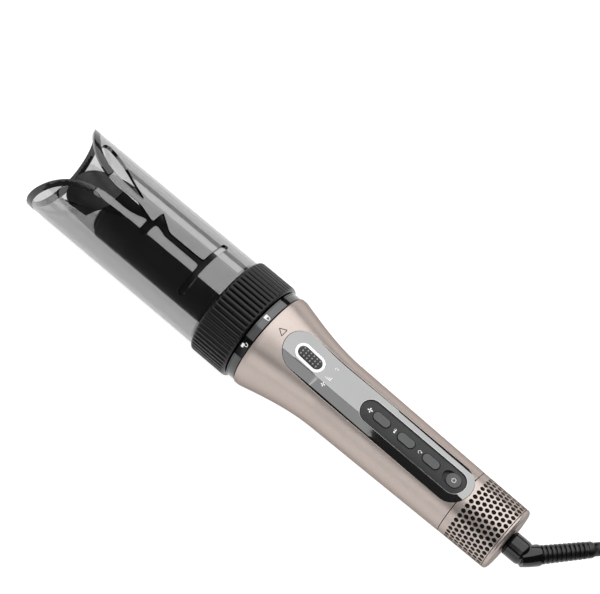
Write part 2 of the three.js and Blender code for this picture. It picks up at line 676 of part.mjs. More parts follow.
// The hank's outer shape: the turns themselves lie inside it, and a flat tie holds them.
function hank() {
  const bottom = FLOOR + HANK_LIFT;
  const top = bottom + HANK_HEIGHT;
  part('cord_hank', 'rubber_black', cut(prism(loopOutline(HANK_OUTER), bottom, top, 12), prism(loopOutline(HANK_INNER), bottom - 1, top + 1, 10)));
  const middle = HANK_FRONT[0] + HANK_STRAIGHT / 2;
  const reach = HANK_OUTER + HANK_LIFT;
  const strap = (shrink, width) => block([middle - width / 2, middle + width / 2],
    [HANK_FRONT[1] - reach + shrink, HANK_FRONT[1] + reach - shrink], [FLOOR + shrink, top + HANK_LIFT - shrink]);
  part('cord_tie', 'charcoal', cut(strap(0, TIE_WIDTH), strap(TIE_THICK, TIE_WIDTH + 2)));
}

function cord() {
  const start = RELIEF_END.clone().addScaledVector(RELIEF_WAY, 2 * GAP);
  part('cord_lead', 'rubber_black', roundTube([start, ...LEAD_ROUTE.map(aboveFloor)], CORD_RADIUS, 4));
  part('cord_tail', 'rubber_black', roundTube(TAIL_ROUTE.map(aboveFloor), CORD_RADIUS, 5));
}

// The plug lies on the hank's tie with its pins towards -X, and the cord's last stretch rises to it.
function plug() {
  const [x, y] = PLUG_AT;
  const deck = FLOOR + 2 * HANK_LIFT + HANK_HEIGHT + GAP;
  const half = PLUG_LENGTH / 2;
  const shoulder = 13;
  const neck = 5;
  const body = new THREE.Shape();
  body.moveTo(half, -neck);
  body.quadraticCurveTo(6, -neck - 1, -2, -shoulder);
  body.lineTo(-half, -shoulder);
  body.lineTo(-half, shoulder);
  body.lineTo(-2, shoulder);
  body.quadraticCurveTo(6, neck + 1, half, neck);
  body.closePath();
  part('plug_body', 'rubber_black', prism(body, deck, deck + PLUG_HEIGHT, 6).translate([x, y, 0]));
  for (const [name, side] of [['plug_pin_left', -1], ['plug_pin_right', 1]]) {
    const pin = drum(-half - PIN_LENGTH, -half - GAP, PIN_RADIUS, 14);
    part(name, 'brass', pin.translate([x, y + side * PIN_SPREAD, deck + PLUG_HEIGHT / 2]));
  }
}

handleShells();
controlPanel();
buttonBezel();
buttons();
trigger();
electronics();
blower();
heater();
nose();
intake();
filterCap();
swivel();
locking();
gripRing();
chamber();
attachmentBase();
barrel();
hank();
cord();
plug();

export default curler;
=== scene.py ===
"""Looks of the automatic hair curler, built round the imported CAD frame.

Lengths are metres unless a name or a comment says millimetres.
"""

import json
import math

import bmesh
import bpy
import numpy as np
from mathutils import Matrix, Vector
from mathutils.geometry import delaunay_2d_cdt


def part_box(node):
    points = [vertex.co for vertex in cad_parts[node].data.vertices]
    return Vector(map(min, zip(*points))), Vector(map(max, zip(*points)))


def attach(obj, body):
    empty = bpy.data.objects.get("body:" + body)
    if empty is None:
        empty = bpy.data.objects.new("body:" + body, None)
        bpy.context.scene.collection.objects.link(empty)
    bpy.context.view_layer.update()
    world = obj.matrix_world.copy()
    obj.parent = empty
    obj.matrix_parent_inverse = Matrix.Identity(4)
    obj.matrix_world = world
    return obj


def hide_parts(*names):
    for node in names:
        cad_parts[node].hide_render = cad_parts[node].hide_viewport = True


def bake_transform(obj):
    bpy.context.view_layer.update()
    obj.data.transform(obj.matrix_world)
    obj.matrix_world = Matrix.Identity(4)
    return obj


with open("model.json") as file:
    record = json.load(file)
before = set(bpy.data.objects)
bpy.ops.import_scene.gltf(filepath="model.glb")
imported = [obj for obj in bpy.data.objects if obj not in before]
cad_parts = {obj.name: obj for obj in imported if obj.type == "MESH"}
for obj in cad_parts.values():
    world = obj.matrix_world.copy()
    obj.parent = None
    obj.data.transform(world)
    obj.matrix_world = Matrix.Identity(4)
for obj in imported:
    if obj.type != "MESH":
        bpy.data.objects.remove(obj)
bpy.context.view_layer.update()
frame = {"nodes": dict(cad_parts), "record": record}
MM = 0.001
TURN = 2 * math.pi

# ---- places taken from the frame ----------------------------------------------------------------
RING_LOW, RING_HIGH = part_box("grip_ring")
AXIS_Z = (RING_LOW.z + RING_HIGH.z) / 2
RING_RADIUS = (RING_HIGH.z - RING_LOW.z) / 2
HANDLE_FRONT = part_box("upper_shell")[0].x
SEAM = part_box("upper_shell")[1].x
CAP_LOW, CAP_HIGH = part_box("filter_cap")
PANEL_LOW, PANEL_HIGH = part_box("control_panel")
CHAMBER_LOW, CHAMBER_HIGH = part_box("clear_chamber")
FRONT_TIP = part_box("chamber_rim")[0].x
BAND_LOW, BAND_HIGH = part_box("lock_band")
BARREL_LOW, BARREL_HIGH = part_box("barrel_shell")
HANK_LOW, HANK_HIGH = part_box("cord_hank")
PLUG_LOW, PLUG_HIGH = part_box("plug_body")


def station(mm):
    """The X of a place that many millimetres behind the handle's front edge."""
    return HANDLE_FRONT + mm * MM


# ---- the camera ---------------------------------------------------------------------------------
CAMERA_LEAN = math.radians(11.7)  # the wand's rear leans this far towards the camera
CAMERA_ROLL = math.radians(19)  # the panel faces this far above the camera
PICTURE_SLOPE = math.radians(39.7)  # the wand runs down the picture at this slope
CAMERA_DISTANCE = 1.165
AXIS_BELOW_CENTRE = 0.02665  # the wand's axis passes this far below the picture's centre
LOOK_AT_STATION = -2.1
LENS_MM = 139.8

# The camera's own directions: towards it, along the wand, and across the wand in the picture.
TO_CAMERA = Vector(
    (
        math.sin(CAMERA_LEAN),
        -math.cos(CAMERA_LEAN) * math.sin(CAMERA_ROLL),
        math.cos(CAMERA_LEAN) * math.cos(CAMERA_ROLL),
    )
)
ALONG = Vector(
    (
        math.cos(CAMERA_LEAN),
        math.sin(CAMERA_LEAN) * math.sin(CAMERA_ROLL),
        -math.sin(CAMERA_LEAN) * math.cos(CAMERA_ROLL),
    )
)
ACROSS = Vector((0, math.cos(CAMERA_ROLL), math.sin(CAMERA_ROLL)))
AIM = Vector((station(LOOK_AT_STATION), 0, AXIS_Z)) + ACROSS * AXIS_BELOW_CENTRE


def make_camera():
    data = bpy.data.cameras.new("camera")
    data.lens = LENS_MM
    data.sensor_width = 36
    data.clip_end = 20
    camera = bpy.data.objects.new("camera", data)
    bpy.context.scene.collection.objects.link(camera)
    right = math.cos(PICTURE_SLOPE) * ALONG + math.sin(PICTURE_SLOPE) * ACROSS
    up = -math.sin(PICTURE_SLOPE) * ALONG + math.cos(PICTURE_SLOPE) * ACROSS
    axes = Matrix((right, up, TO_CAMERA)).transposed()
    camera.matrix_world = Matrix.Translation(AIM + TO_CAMERA * CAMERA_DISTANCE) @ axes.to_4x4()
    bpy.context.scene.camera = camera


make_camera()


# ---- materials ----------------------------------------------------------------------------------
class Material:
    """A procedural Principled material. Grain and wear ride on the object's own coordinates."""

    def __init__(self, name, color, roughness, metallic=0.0, **sockets):
        self.material = bpy.data.materials.new(name)
        self.material.use_nodes = True
        self.nodes = self.material.node_tree.nodes
        self.links = self.material.node_tree.links
        self.shader = self.nodes["Principled BSDF"]
        self.shader.inputs["Base Color"].default_value = (*color, 1)
        self.shader.inputs["Roughness"].default_value = roughness
        self.shader.inputs["Metallic"].default_value = metallic
        for label, value in sockets.items():
            self.shader.inputs[label.replace("_", " ")].default_value = value
        self.place = self.nodes.new("ShaderNodeTexCoord").outputs["Object"]
        self.color = color
        self.roughness = roughness

    def noise(self, size_mm, detail=2.0, stretch=None):
        """A noise field whose features are about size_mm across."""
        place = self.place
        if stretch:
            mapping = self.nodes.new("ShaderNodeMapping")
            mapping.inputs["Scale"].default_value = stretch
            self.links.new(place, mapping.inputs["Vector"])
            place = mapping.outputs["Vector"]
        noise = self.nodes.new("ShaderNodeTexNoise")
        noise.inputs["Scale"].default_value = 1 / (size_mm * MM)
        noise.inputs["Detail"].default_value = detail
        self.links.new(place, noise.inputs["Vector"])
        return noise.outputs["Fac"]

    def span(self, value, low, high, start=0.3, end=0.7):
        spread = self.nodes.new("ShaderNodeMapRange")
        for label, number in (
            ("From Min", start),
            ("From Max", end),
            ("To Min", low),
            ("To Max", high),
        ):
            spread.inputs[label].default_value = number
        self.links.new(value, spread.inputs["Value"])
        return spread.outputs["Result"]

    def vary_roughness(self, size_mm, amount, stretch=None):
        field = self.noise(size_mm, 4, stretch)
        low, high = max(0.0, self.roughness - amount), self.roughness + amount
        self.links.new(self.span(field, low, high), self.shader.inputs["Roughness"])
        return self

    def vary_color(self, size_mm, share, stretch=None):
        """The colour drifts between a darker and a lighter shade by that share."""
        mix = self.nodes.new("ShaderNodeMix")
        mix.data_type = "RGBA"
        mix.inputs["A"].default_value = (*(c * (1 - share) for c in self.color), 1)
        mix.inputs["B"].default_value = (*(min(1, c * (1 + share)) for c in self.color), 1)
        field = self.span(self.noise(size_mm, 3, stretch), 0, 1)
        self.links.new(field, mix.inputs["Factor"])
        self.links.new(mix.outputs["Result"], self.shader.inputs["Base Color"])
        return self

    def bump(self, size_mm, depth_mm, strength=0.4, stretch=None, detail=2.0):
        bump = self.nodes.new("ShaderNodeBump")
        bump.inputs["Strength"].default_value = strength
        bump.inputs["Distance"].default_value = depth_mm * MM
        self.links.new(self.noise(size_mm, detail, stretch), bump.inputs["Height"])
        normal = self.shader.inputs["Normal"]
        if normal.is_linked:
            self.links.new(normal.links[0].from_socket, bump.inputs["Normal"])
        self.links.new(bump.outputs["Normal"], normal)
        return self

    def absorb(self, density):
        """The smoke in a clear plastic: light fades along its way through the wall."""
        smoke = self.nodes.new("ShaderNodeVolumeAbsorption")
        smoke.inputs["Color"].default_value = (0, 0, 0, 1)
        smoke.inputs["Density"].default_value = density
        self.links.new(smoke.outputs["Volume"], self.nodes["Material Output"].inputs["Volume"])
        return self


FLOP_AND_EDGE_SHADE = (0.3, 0.28, 0.27, 1)  # the lacquer's grazing reflection is tinted darker: partly the flakes' flop, partly painted shade at the edges


def glow(strength):
    return {"Emission_Color": (1, 1, 1, 1), "Emission_Strength": strength}


def make_materials():
    """One material for each of the record's slots, and a few for the small details."""
    made = {
        # The edge tint darkens the lacquer's grazing reflection: partly flop, partly painted shade at its
        # edges.
        "handle_lacquer": Material("lacquer", (0.435, 0.375, 0.345), 0.33, 0.85, Specular_Tint=FLOP_AND_EDGE_SHADE)
        .vary_color(0.22, 0.12)
        .vary_roughness(9, 0.04)
        .bump(0.18, 0.02, 0.35),
        # The glossy black pieces mirror the studio like a dark metal.
        "gloss_black": Material("panel_gloss", (0.25, 0.251, 0.252), 0.05, 1.0)
        .vary_color(30, 0.05)
        .vary_roughness(14, 0.02)
        .bump(22, 0.02, 0.12),
        "bezel_grey": Material("bezel", (0.03, 0.031, 0.032), 0.5, Specular_IOR_Level=0.3)
        .vary_color(4, 0.06)
        .vary_roughness(3, 0.06)
        .bump(0.2, 0.015, 0.4),
        "button_grey": Material("button", (0.085, 0.087, 0.088), 0.5, Specular_IOR_Level=0.4)
        .vary_color(3, 0.05)
        .vary_roughness(2, 0.05)
        .bump(0.16, 0.012, 0.35),
        "light_ring": Material("light_ring", (0.8, 0.8, 0.8), 0.3, **glow(0.25))
        .vary_color(3, 0.03)
        .vary_roughness(2, 0.04),
        "satin_black": Material("satin_black", (0.002, 0.002, 0.0021), 0.22, Specular_IOR_Level=0.28)
        .vary_color(5, 0.15)
        .vary_roughness(4, 0.07)
        .bump(0.25, 0.018, 0.35),
        "band_gloss": Material("band_gloss", (0.085, 0.086, 0.087), 0.09, 1.0)
        .vary_color(8, 0.12)
        .vary_roughness(10, 0.03),
        "smoked_clear": Material("smoked_clear", (0.82, 0.82, 0.82), 0.01, Transmission_Weight=1.0, IOR=1.95)
        .vary_color(60, 0.015)
        .bump(35, 0.02, 0.1)
        .absorb(250),
        "rim_smoke": Material("rim_smoke", (0.012, 0.012, 0.0125), 0.07, IOR=1.52)
        .vary_color(12, 0.2)
        .vary_roughness(9, 0.03),
        "barrel_black": Material("barrel_coat", (0.0015, 0.0015, 0.0016), 0.4, Specular_IOR_Level=0.3)
        .vary_color(6, 0.2)
        .vary_roughness(5, 0.08, (0.2, 1, 1))
        .bump(0.3, 0.01, 0.3),
        "charcoal": Material("charcoal", (0.006, 0.006, 0.0062), 0.5)
        .vary_color(4, 0.12)
        .vary_roughness(3, 0.07)
        .bump(0.22, 0.02, 0.4),
        "cord_rubber": Material("cord_rubber", (0.003, 0.003, 0.0032), 0.36)
        .vary_color(5, 0.2)
        .vary_roughness(3, 0.1)
        .bump(0.35, 0.03, 0.4),
        "knuckle_gloss": Material("knuckle_gloss", (0.0025, 0.0025, 0.0026), 0.14)
        .vary_color(6, 0.15)
        .vary_roughness(4, 0.05)
        .bump(1.5, 0.02, 0.15),
        "steel": Material("steel", (0.4, 0.41, 0.42), 0.35, 1.0)
        .vary_color(2, 0.06)
        .bump(0.3, 0.01, 0.3, (0.1, 1, 1)),
        "filter_mesh": Material("filter_mesh", (0.006, 0.0055, 0.005), 0.5, 0.4)
        .vary_color(1, 0.4)
        .bump(0.5, 0.15, 0.7),
        "mica": Material("mica", (0.25, 0.2, 0.13), 0.5).vary_color(3, 0.15).bump(1, 0.03, 0.4),
        "heater_wire": Material("heater_wire", (0.2, 0.17, 0.16), 0.35, 1.0).vary_color(1, 0.2),
        "board": Material("board", (0.008, 0.06, 0.02), 0.35).vary_color(2, 0.25).bump(0.8, 0.03, 0.4),
        "moulded_white": Material("moulded_white", (0.5, 0.49, 0.45), 0.4).vary_color(3, 0.04),
        "capacitor": Material("capacitor", (0.02, 0.05, 0.18), 0.25).vary_color(3, 0.08),
        "brass": Material("brass", (0.5, 0.34, 0.13), 0.26, 1.0)
        .vary_color(2, 0.06)
        .vary_roughness(2, 0.06),
        # A lighter grey for the ring round the bezel: a painted highlight for the light on its chamfer.
        "chamfer_highlight_grey": Material("chamfer_highlight", (0.4, 0.4, 0.4), 0.22, 0.9)
        .vary_color(4, 0.05)
        .vary_roughness(3, 0.05),
        "dot_grey": Material("dot_grey", (0.3, 0.3, 0.3), 0.4).vary_color(1, 0.05).bump(0.2, 0.01, 0.2),
        "print_white": Material("print_white", (0.9, 0.9, 0.9), 0.5).vary_color(0.5, 0.04),
        "mark_brown": Material("mark_brown", (0.05, 0.04, 0.035), 0.5, 0.4).vary_color(0.5, 0.08),
        "floor": Material("floor", (0.42, 0.42, 0.42), 0.7, Specular_IOR_Level=0.0, **glow(0.88))
        .vary_color(200, 0.01),
    }
    return {name: kind.material for name, kind in made.items()}


LOOK = make_materials()


# ---- mesh tools ---------------------------------------------------------------------------------
def add_mesh(name, points, faces, look, smooth=True):
    mesh = bpy.data.meshes.new(name)
    mesh.from_pydata([tuple(p) for p in points], [], faces)
    mesh.validate()
    piece = bpy.data.objects.new(name, mesh)
    bpy.context.scene.collection.objects.link(piece)
    mesh.materials.append(LOOK[look])
    if smooth:
        mesh.shade_smooth()
    return piece


def face_outward(piece):
    """Merges points that meet, and turns all faces outward."""
    work = bmesh.new()
    work.from_mesh(piece.data)
    bmesh.ops.remove_doubles(work, verts=work.verts, dist=2e-6)
    bmesh.ops.recalc_face_normals(work, faces=work.faces)
    work.to_mesh(piece.data)
    work.free()


def rounded_edges(piece, width_mm, segments=2, angle=38):
    """Softens the sharp edges, and keeps the shading of the broad faces."""
    keep_sharp(piece, angle)
    if width_mm:
        bevel = piece.modifiers.new("edges", "BEVEL")
        bevel.width = width_mm * MM
        bevel.segments = segments
        bevel.limit_method = "ANGLE"
        bevel.angle_limit = math.radians(angle)
        bevel.harden_normals = True
        bevel.use_clamp_overlap = True
    return piece


def finish_piece(piece, body, *nodes, slot=None):
    """The piece rides on a body and stands for CAD nodes. Its slot argument is not used."""
    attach(piece, body)
    if nodes:
        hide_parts(*nodes)
    return piece


def on_wand(x, angle, radius):
    """A point round the wand's axis: angle 0 is straight up, and a quarter turn is +Y."""
    return (x, radius * math.sin(angle), AXIS_Z + radius * math.cos(angle))


def level(radius):
    """A plate's radius that is the same everywhere."""
    return lambda x, angle: radius


def grid_faces(rows, columns, rows_meet=True, columns_meet=True):
    """Faces over a grid of points. Its last row or column may meet its first."""
    faces = []
    for i in range(rows if rows_meet else rows - 1):
        j = (i + 1) % rows
        for k in range(columns if columns_meet else columns - 1):
            m = (k + 1) % columns
            faces.append((i * columns + k, j * columns + k, j * columns + m, i * columns + m))
    return faces


def end_caps(rows, columns):
    """The two flat ends of a tube whose rows go once round it."""
    last = (rows - 1) * columns
    return [tuple(reversed(range(columns))), tuple(last + k for k in range(columns))]


def keep_sharp(piece, degrees):
    """Edges that turn by more than these degrees stay sharp, and the rest are shaded smooth."""
    piece.data.set_sharp_from_angle(angle=math.radians(degrees))


def turned(name, profile, look, segments=96, closed=True, sharp=None):
    """A ring or drum about the wand's axis, from a profile of (x, radius)."""
    points = [on_wand(x, i * TURN / segments, radius) for i in range(segments) for x, radius in profile]
    faces = grid_faces(segments, len(profile), columns_meet=closed)
    piece = add_mesh(name, points, faces, look)
    face_outward(piece)
    if sharp:
        keep_sharp(piece, sharp)
    return piece


def resampled(loop, step):
    """The loop with its long sides split, so that no side is longer than step."""
    out = []
    for (x0, y0), (x1, y1) in zip(loop, loop[1:] + loop[:1], strict=True):
        parts = max(1, math.ceil(math.hypot(x1 - x0, y1 - y0) / step))
        out += [(x0 + (x1 - x0) * i / parts, y0 + (y1 - y0) * i / parts) for i in range(parts)]
    return out


def inside(points, loops):
    """Which points lie inside the first loop and outside the others, by the even-odd rule."""
    crossings = np.zeros(len(points), int)
    px, py = points[:, 0], points[:, 1]
    for loop in loops:
        a = np.array(loop)
        b = np.roll(a, -1, axis=0)
        for (x0, y0), (x1, y1) in zip(a, b, strict=True):
            if y0 == y1:
                continue
            spans = (y0 > py) != (y1 > py)
            crossings += spans & (px < (x1 - x0) * (py - y0) / (y1 - y0) + x0)
    return crossings % 2 == 1


def fill(loops, step):
    """Triangles that fill the first loop and leave the others open, with an even grid of points inside."""
    loops = [resampled(loop, step) for loop in loops]
    edge_points = np.array([p for loop in loops for p in loop])
    low, high = edge_points.min(0), edge_points.max(0)
    xs = np.arange(low[0] + step / 2, high[0], step)
    ys = np.arange(low[1] + step / 2, high[1], step * 0.87)
    grid = np.array([(x + (j % 2) * step / 2, y) for j, y in enumerate(ys) for x in xs])
    if len(grid):
        grid = grid[inside(grid, loops)]
    if len(grid):
        near = np.full(len(grid), np.inf)
        for chunk in np.array_split(edge_points, max(1, len(edge_points) // 200)):
            gaps = np.linalg.norm(grid[:, None, :] - chunk[None, :, :], axis=2).min(1)
            near = np.minimum(near, gaps)
        grid = grid[near > 0.55 * step]
    edges, first = [], 0
    for loop in loops:
        n = len(loop)
        edges += [(first + i, first + (i + 1) % n) for i in range(n)]
        first += n
    points = [Vector(p) for p in edge_points] + [Vector(p) for p in grid]
    out_points, _, triangles, *_ = delaunay_2d_cdt(points, edges, [], 0, 1e-9)
    flat = np.array([tuple(p) for p in out_points])
    triangles = np.array([t for t in triangles if len(t) == 3])
    middles = flat[triangles].mean(1)
    return flat, triangles[inside(middles, loops)]


def shell_piece(name, loops, outer, inner, look, step=0.0012, scale=1.0, wrap=None, edge_mm=0.15, segments=2):
    """A curved plate.

    Its outline and holes are drawn flat, as (x, arc) with arc = angle * scale. outer and inner give its two
    radii at an (x, angle). With wrap, the sides at that arc meet and become one ring.
    """
    flat, triangles = fill(loops, step)
    angles = flat[:, 1] / scale
    top = [on_wand(x, a, outer(x, a)) for (x, _), a in zip(flat, angles, strict=True)]
    bottom = [on_wand(x, a, inner(x, a)) for (x, _), a in zip(flat, angles, strict=True)]
    n = len(flat)
    faces = [tuple(int(i) for i in t) for t in triangles]
    faces += [tuple(int(i) + n for i in reversed(t)) for t in triangles]
    uses = {}
    for a, b, c in triangles:
        for edge in ((a, b), (b, c), (c, a)):
            key = (int(min(edge)), int(max(edge)))
            uses[key] = uses.get(key, 0) + 1
    for (i, j), count in uses.items():
        if count > 1:
            continue
        if wrap and min(abs(flat[i, 1]), abs(flat[j, 1])) > wrap - 1e-7:
            continue
        faces.append((i, j, j + n, i + n))
    piece = add_mesh(name, top + bottom, faces, look)
    face_outward(piece)
    return rounded_edges(piece, edge_mm, segments)


def arc_points(cx, cy, radius, start, end, count):
    """Points along an arc, in degrees."""
    return [
        (
            cx + radius * math.cos(math.radians(start + (end - start) * i / count)),
            cy + radius * math.sin(math.radians(start + (end - start) * i / count)),
        )
        for i in range(count + 1)
    ]


def stadium(x0, x1, half, count=18):
    """A stadium along X, as a loop of (x, y)."""
    return arc_points(x1 - half, 0, half, -90, 90, count) + arc_points(x0 + half, 0, half, 90, 270, count)


def bezier(p0, p1, p2, p3, count):
    """Points along a cubic Bezier curve."""
    out = []
    for i in range(count + 1):
        t = i / count
        s = 1 - t
        weighted = ((s**3, p0), (3 * s * s * t, p1), (3 * s * t * t, p2), (t**3, p3))
        out.append(tuple(sum(weight * p[k] for weight, p in weighted) for k in (0, 1)))
    return out


def closed_spline(points, count=10):
    """A smooth closed loop through the points (Catmull-Rom)."""
    out, n = [], len(points)
    for i in range(n):
        a, b, c, d = (np.array(points[(i + k) % n]) for k in (-1, 0, 1, 2))
        for j in range(count):
            t = j / count
            curve = (c - a) * t + (2 * a - 5 * b + 4 * c - d) * t * t + (3 * b - a - 3 * c + d) * t**3
            out.append(tuple(b + curve / 2))
    return out


# ---- the handle's surface -----------------------------------------------------------------------
FLARE = bezier(
    (station(2.5), 26.65 * MM),
    (station(10.5), 24.8 * MM),
    (station(27.5), 19.87 * MM),
    (station(44), 19.6 * MM),
    40,
)
REAR_RADIUS = 18.2 * MM
HANDLE_LINE = [
    (station(-5), FLARE[0][1]),
    *FLARE,
    (SEAM, REAR_RADIUS),
    (SEAM + 30 * MM, REAR_RADIUS - 0.4 * MM),
]
LINE_X, LINE_R = np.array(HANDLE_LINE).T
ARC = 20 * MM  # flat drawings of the handle use this radius for their arc
SHELL_WALL = 2.2  # millimetres


def handle_radius(x, _=0.0):
    return float(np.interp(x, LINE_X, LINE_R))


def layer(lift_mm):
    """The handle's surface, raised by some millimetres."""
    return lambda x, _: handle_radius(x) + lift_mm * MM


def unrolled(loop):
    """A loop drawn in plan, (x, y), as the flat drawing's (x, arc)."""
    return [(x, ARC * math.asin(max(-1, min(1, y / handle_radius(x))))) for x, y in loop]


def outline(name, spread_mm=0.0):
    """The stadium that a CAD node of the panel fills in plan."""
    low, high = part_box(name)
    spread = spread_mm * MM
    return stadium(low.x - spread, high.x + spread, (high.y - low.y) / 2 + spread)


def drawn(name, spread_mm=0.0):
    """A panel node's stadium, on the handle's flat drawing."""
    return unrolled(outline(name, spread_mm))


def handle_plate(name, loops, top_mm, bottom_mm, look, **shape):
    """A plate on the handle, between two heights above its surface."""
    return shell_piece(name, loops, layer(top_mm), layer(bottom_mm), look, scale=ARC, **shape)


def half_shell(node, loop):
    shell = handle_plate(node + "_skin", [loop], 0, -SHELL_WALL, "handle_lacquer", edge_mm=0.25)
    finish_piece(shell, "handle", node, slot="handle_lacquer")


def handle_shells():
    """Two half shells. The upper one's window runs out through its rear edge, past the panel's nose."""
    quarter = ARC * math.pi / 2
    split = 0.12 * MM
    middle = (PANEL_LOW.x + PANEL_HIGH.x) / 2
    window = [p for p in unrolled(resampled(outline("control_panel", 0.15), MM)) if p[0] < SEAM]
    window.sort(key=lambda p: -math.atan2(p[1], p[0] - middle) % TURN)
    last = [arc for x, arc in window if x > SEAM - 1.5 * MM]
    rear_edge = [(SEAM, min(last)), *window, (SEAM, max(last))]
    for node, low, high, between in (
        ("upper_shell", -quarter + split, quarter - split, rear_edge),
        ("lower_shell", quarter + split, 3 * quarter - split, []),
    ):
        half_shell(node, [(HANDLE_FRONT, low), (SEAM, low), *between, (SEAM, high), (HANDLE_FRONT, high)])


# ---- the control panel --------------------------------------------------------------------------
# Heights above the handle's surface, and gaps, in millimetres.
PANEL_TOP = 0.2
BEZEL_TOP = -0.5
PLATE_BOTTOM = -2.3
FLOOR_TOP = -2.45
FLOOR_BOTTOM = -2.7
RING_GAP = 0.12
# The panel's hole round the bezel leaves room for the lighter ring, a painted highlight on the chamfer.
CHAMFER_HIGHLIGHT_GAP = 0.42
KEY_GAP = 0.45


def control_panel():
    loops = [drawn("control_panel"), drawn("trigger_light_ring", RING_GAP), drawn("button_bezel", CHAMFER_HIGHLIGHT_GAP)]
    edges = {"edge_mm": 0.35, "segments": 3}
    panel = handle_plate("panel_glass", loops, PANEL_TOP, PLATE_BOTTOM, "gloss_black", **edges)
    finish_piece(panel, "handle", "control_panel", slot="gloss_black")


BUTTONS = {"fan_button": "fan_key", "heat_button": "heat_key", "direction_button": "direction_key"}
SLOT_FRONT = station(111)
SLOT_REAR = station(121.6)


def button_bezel():
    """The bezel with its keys' holes, a dark floor under it, and a thin lighter ring round it: a painted
    highlight for the light on the bezel's chamfer.
    """
    low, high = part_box("power_slider")
    slot = unrolled(stadium(SLOT_FRONT, SLOT_REAR, (high.y - low.y) / 2 + 0.25 * MM))
    loops = [drawn("button_bezel"), *(drawn(name, KEY_GAP) for name in BUTTONS), slot]
    plate = handle_plate("bezel_plate", loops, BEZEL_TOP, PLATE_BOTTOM, "bezel_grey", edge_mm=0.25)
    finish_piece(plate, "handle", "button_bezel", slot="bezel_grey")
    loops = [drawn("button_bezel", -0.8), *(drawn(name, 0.12) for name in BUTTONS)]
    floor = handle_plate("bezel_floor", loops, FLOOR_TOP, FLOOR_BOTTOM, "charcoal", edge_mm=0)
    finish_piece(floor, "handle")
    # A lighter ring round the bezel: a painted highlight where the bezel's chamfer catches the light.
    loops = [drawn("button_bezel", 0.38), drawn("button_bezel", 0.08)]
    chamfer_highlight = handle_plate("bezel_chamfer_highlight", loops, 0.24, -0.6, "chamfer_highlight_grey", edge_mm=0.08, segments=1)
    finish_piece(chamfer_highlight, "handle")


def pill(name, node, body, look, lift, dish, thickness=2.6, gap=0.0):
    """A pill-shaped key with a dished top. Its heights, and its gap to the hole, are in millimetres."""
    low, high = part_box(node)
    middle, half_x = (low.x + high.x) / 2, (high.x - low.x) / 2
    half_a = (high.y - low.y) / 2 / handle_radius(middle)

    def top(x, a):
        sideways = 1 - min(1, (a / half_a) ** 2)
        lengthways = 1 - min(1, ((x - middle) / half_x) ** 2)
        return handle_radius(x) + (lift - dish * sideways * lengthways) * MM

    loops = [drawn(node, -gap)]
    bottom = layer(lift - thickness)
    key = shell_piece(name, loops, top, bottom, look, step=0.0005, scale=ARC, edge_mm=0.35, segments=3)
    finish_piece(key, body, node, slot=look)


def keys():
    for node, body in BUTTONS.items():
        pill(node + "_cap", node, body, "button_grey", 0.05, 0.22)
    pill("power_slider_thumb", "power_slider", "power", "button_grey", 0.2, 0.15)


def trigger():
    loops = [drawn("trigger_light_ring"), drawn("trigger_button", 0.15)]
    fine = {"step": 0.0006, "edge_mm": 0.3, "segments": 3}
    ring = handle_plate("trigger_ring_glow", loops, 0.35, -2.2, "light_ring", **fine)
    finish_piece(ring, "handle", "trigger_light_ring", slot="light_ring")
    pill("trigger_pad", "trigger_button", "trigger", "bezel_grey", 0.6, -0.35, thickness=3, gap=0.15)
    grip_dots()


DOT_COLUMNS = 6
DOT_ROWS = 3
DOT_PITCH = (1.95 * MM, 1.62 * MM)
DOT_RADIUS = 0.52 * MM
DOT_RINGS = 4
DOT_SIDES = 12


def grip_dots():
    """Small domes that give the trigger its grip. The middle row stands a little higher."""
    low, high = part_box("trigger_button")
    middle = (low.x + high.x) / 2
    points, faces = [], []
    for column in range(DOT_COLUMNS):
        for row in range(DOT_ROWS):
            x = middle + (column - (DOT_COLUMNS - 1) / 2) * DOT_PITCH[0]
            angle = (row - 1) * DOT_PITCH[1] / handle_radius(x)
            base = handle_radius(x) + (0.71 if row == 1 else 0.63) * MM
            first = len(points)
            add_dome(points, x, angle, base)
            faces += [tuple(first + i for i in face) for face in dome_faces()]
    dots = add_mesh("trigger_grip_dots", points, faces, "dot_grey")
    face_outward(dots)
    finish_piece(dots, "trigger")


def add_dome(points, x, angle, base):
    """One dome's rings of points, and its crown."""
    height = 0.42 * MM
    for r in range(DOT_RINGS):
        lift = r / DOT_RINGS * math.pi / 2
        radius = DOT_RADIUS * math.cos(lift)
        for s in range(DOT_SIDES):
            turn = s * TURN / DOT_SIDES
            aside = angle + radius * math.sin(turn) / handle_radius(x)
            points.append(on_wand(x + radius * math.cos(turn), aside, base + height * math.sin(lift)))
    points.append(on_wand(x, angle, base + height))


def dome_faces():
    crown = DOT_RINGS * DOT_SIDES
    top = crown - DOT_SIDES  # the highest ring's first point
    faces = grid_faces(DOT_RINGS, DOT_SIDES, rows_meet=False)
    faces += [(top + s, top + (s + 1) % DOT_SIDES, crown) for s in range(DOT_SIDES)]
    return [*faces, tuple(reversed(range(DOT_SIDES)))]


# ---- printed icons ------------------------------------------------------------------------------
def ring_loop(radius, wall, start=0, end=360):
    """A stroke along an arc, as one loop."""
    outer = arc_points(0, 0, radius + wall / 2, start, end, 24)
    return outer + arc_points(0, 0, radius - wall / 2, end, start, 24)


def bar(x0, y0, x1, y1, wall):
    """A straight stroke, as one loop."""
    length = math.hypot(x1 - x0, y1 - y0)
    nx, ny = -(y1 - y0) / length * wall / 2, (x1 - x0) / length * wall / 2
    return [(x0 + nx, y0 + ny), (x0 - nx, y0 - ny), (x1 - nx, y1 - ny), (x1 + nx, y1 + ny)]


def turned_loop(loop, degrees):
    c, s = math.cos(math.radians(degrees)), math.sin(math.radians(degrees))
    return [(x * c - y * s, x * s + y * c) for x, y in loop]


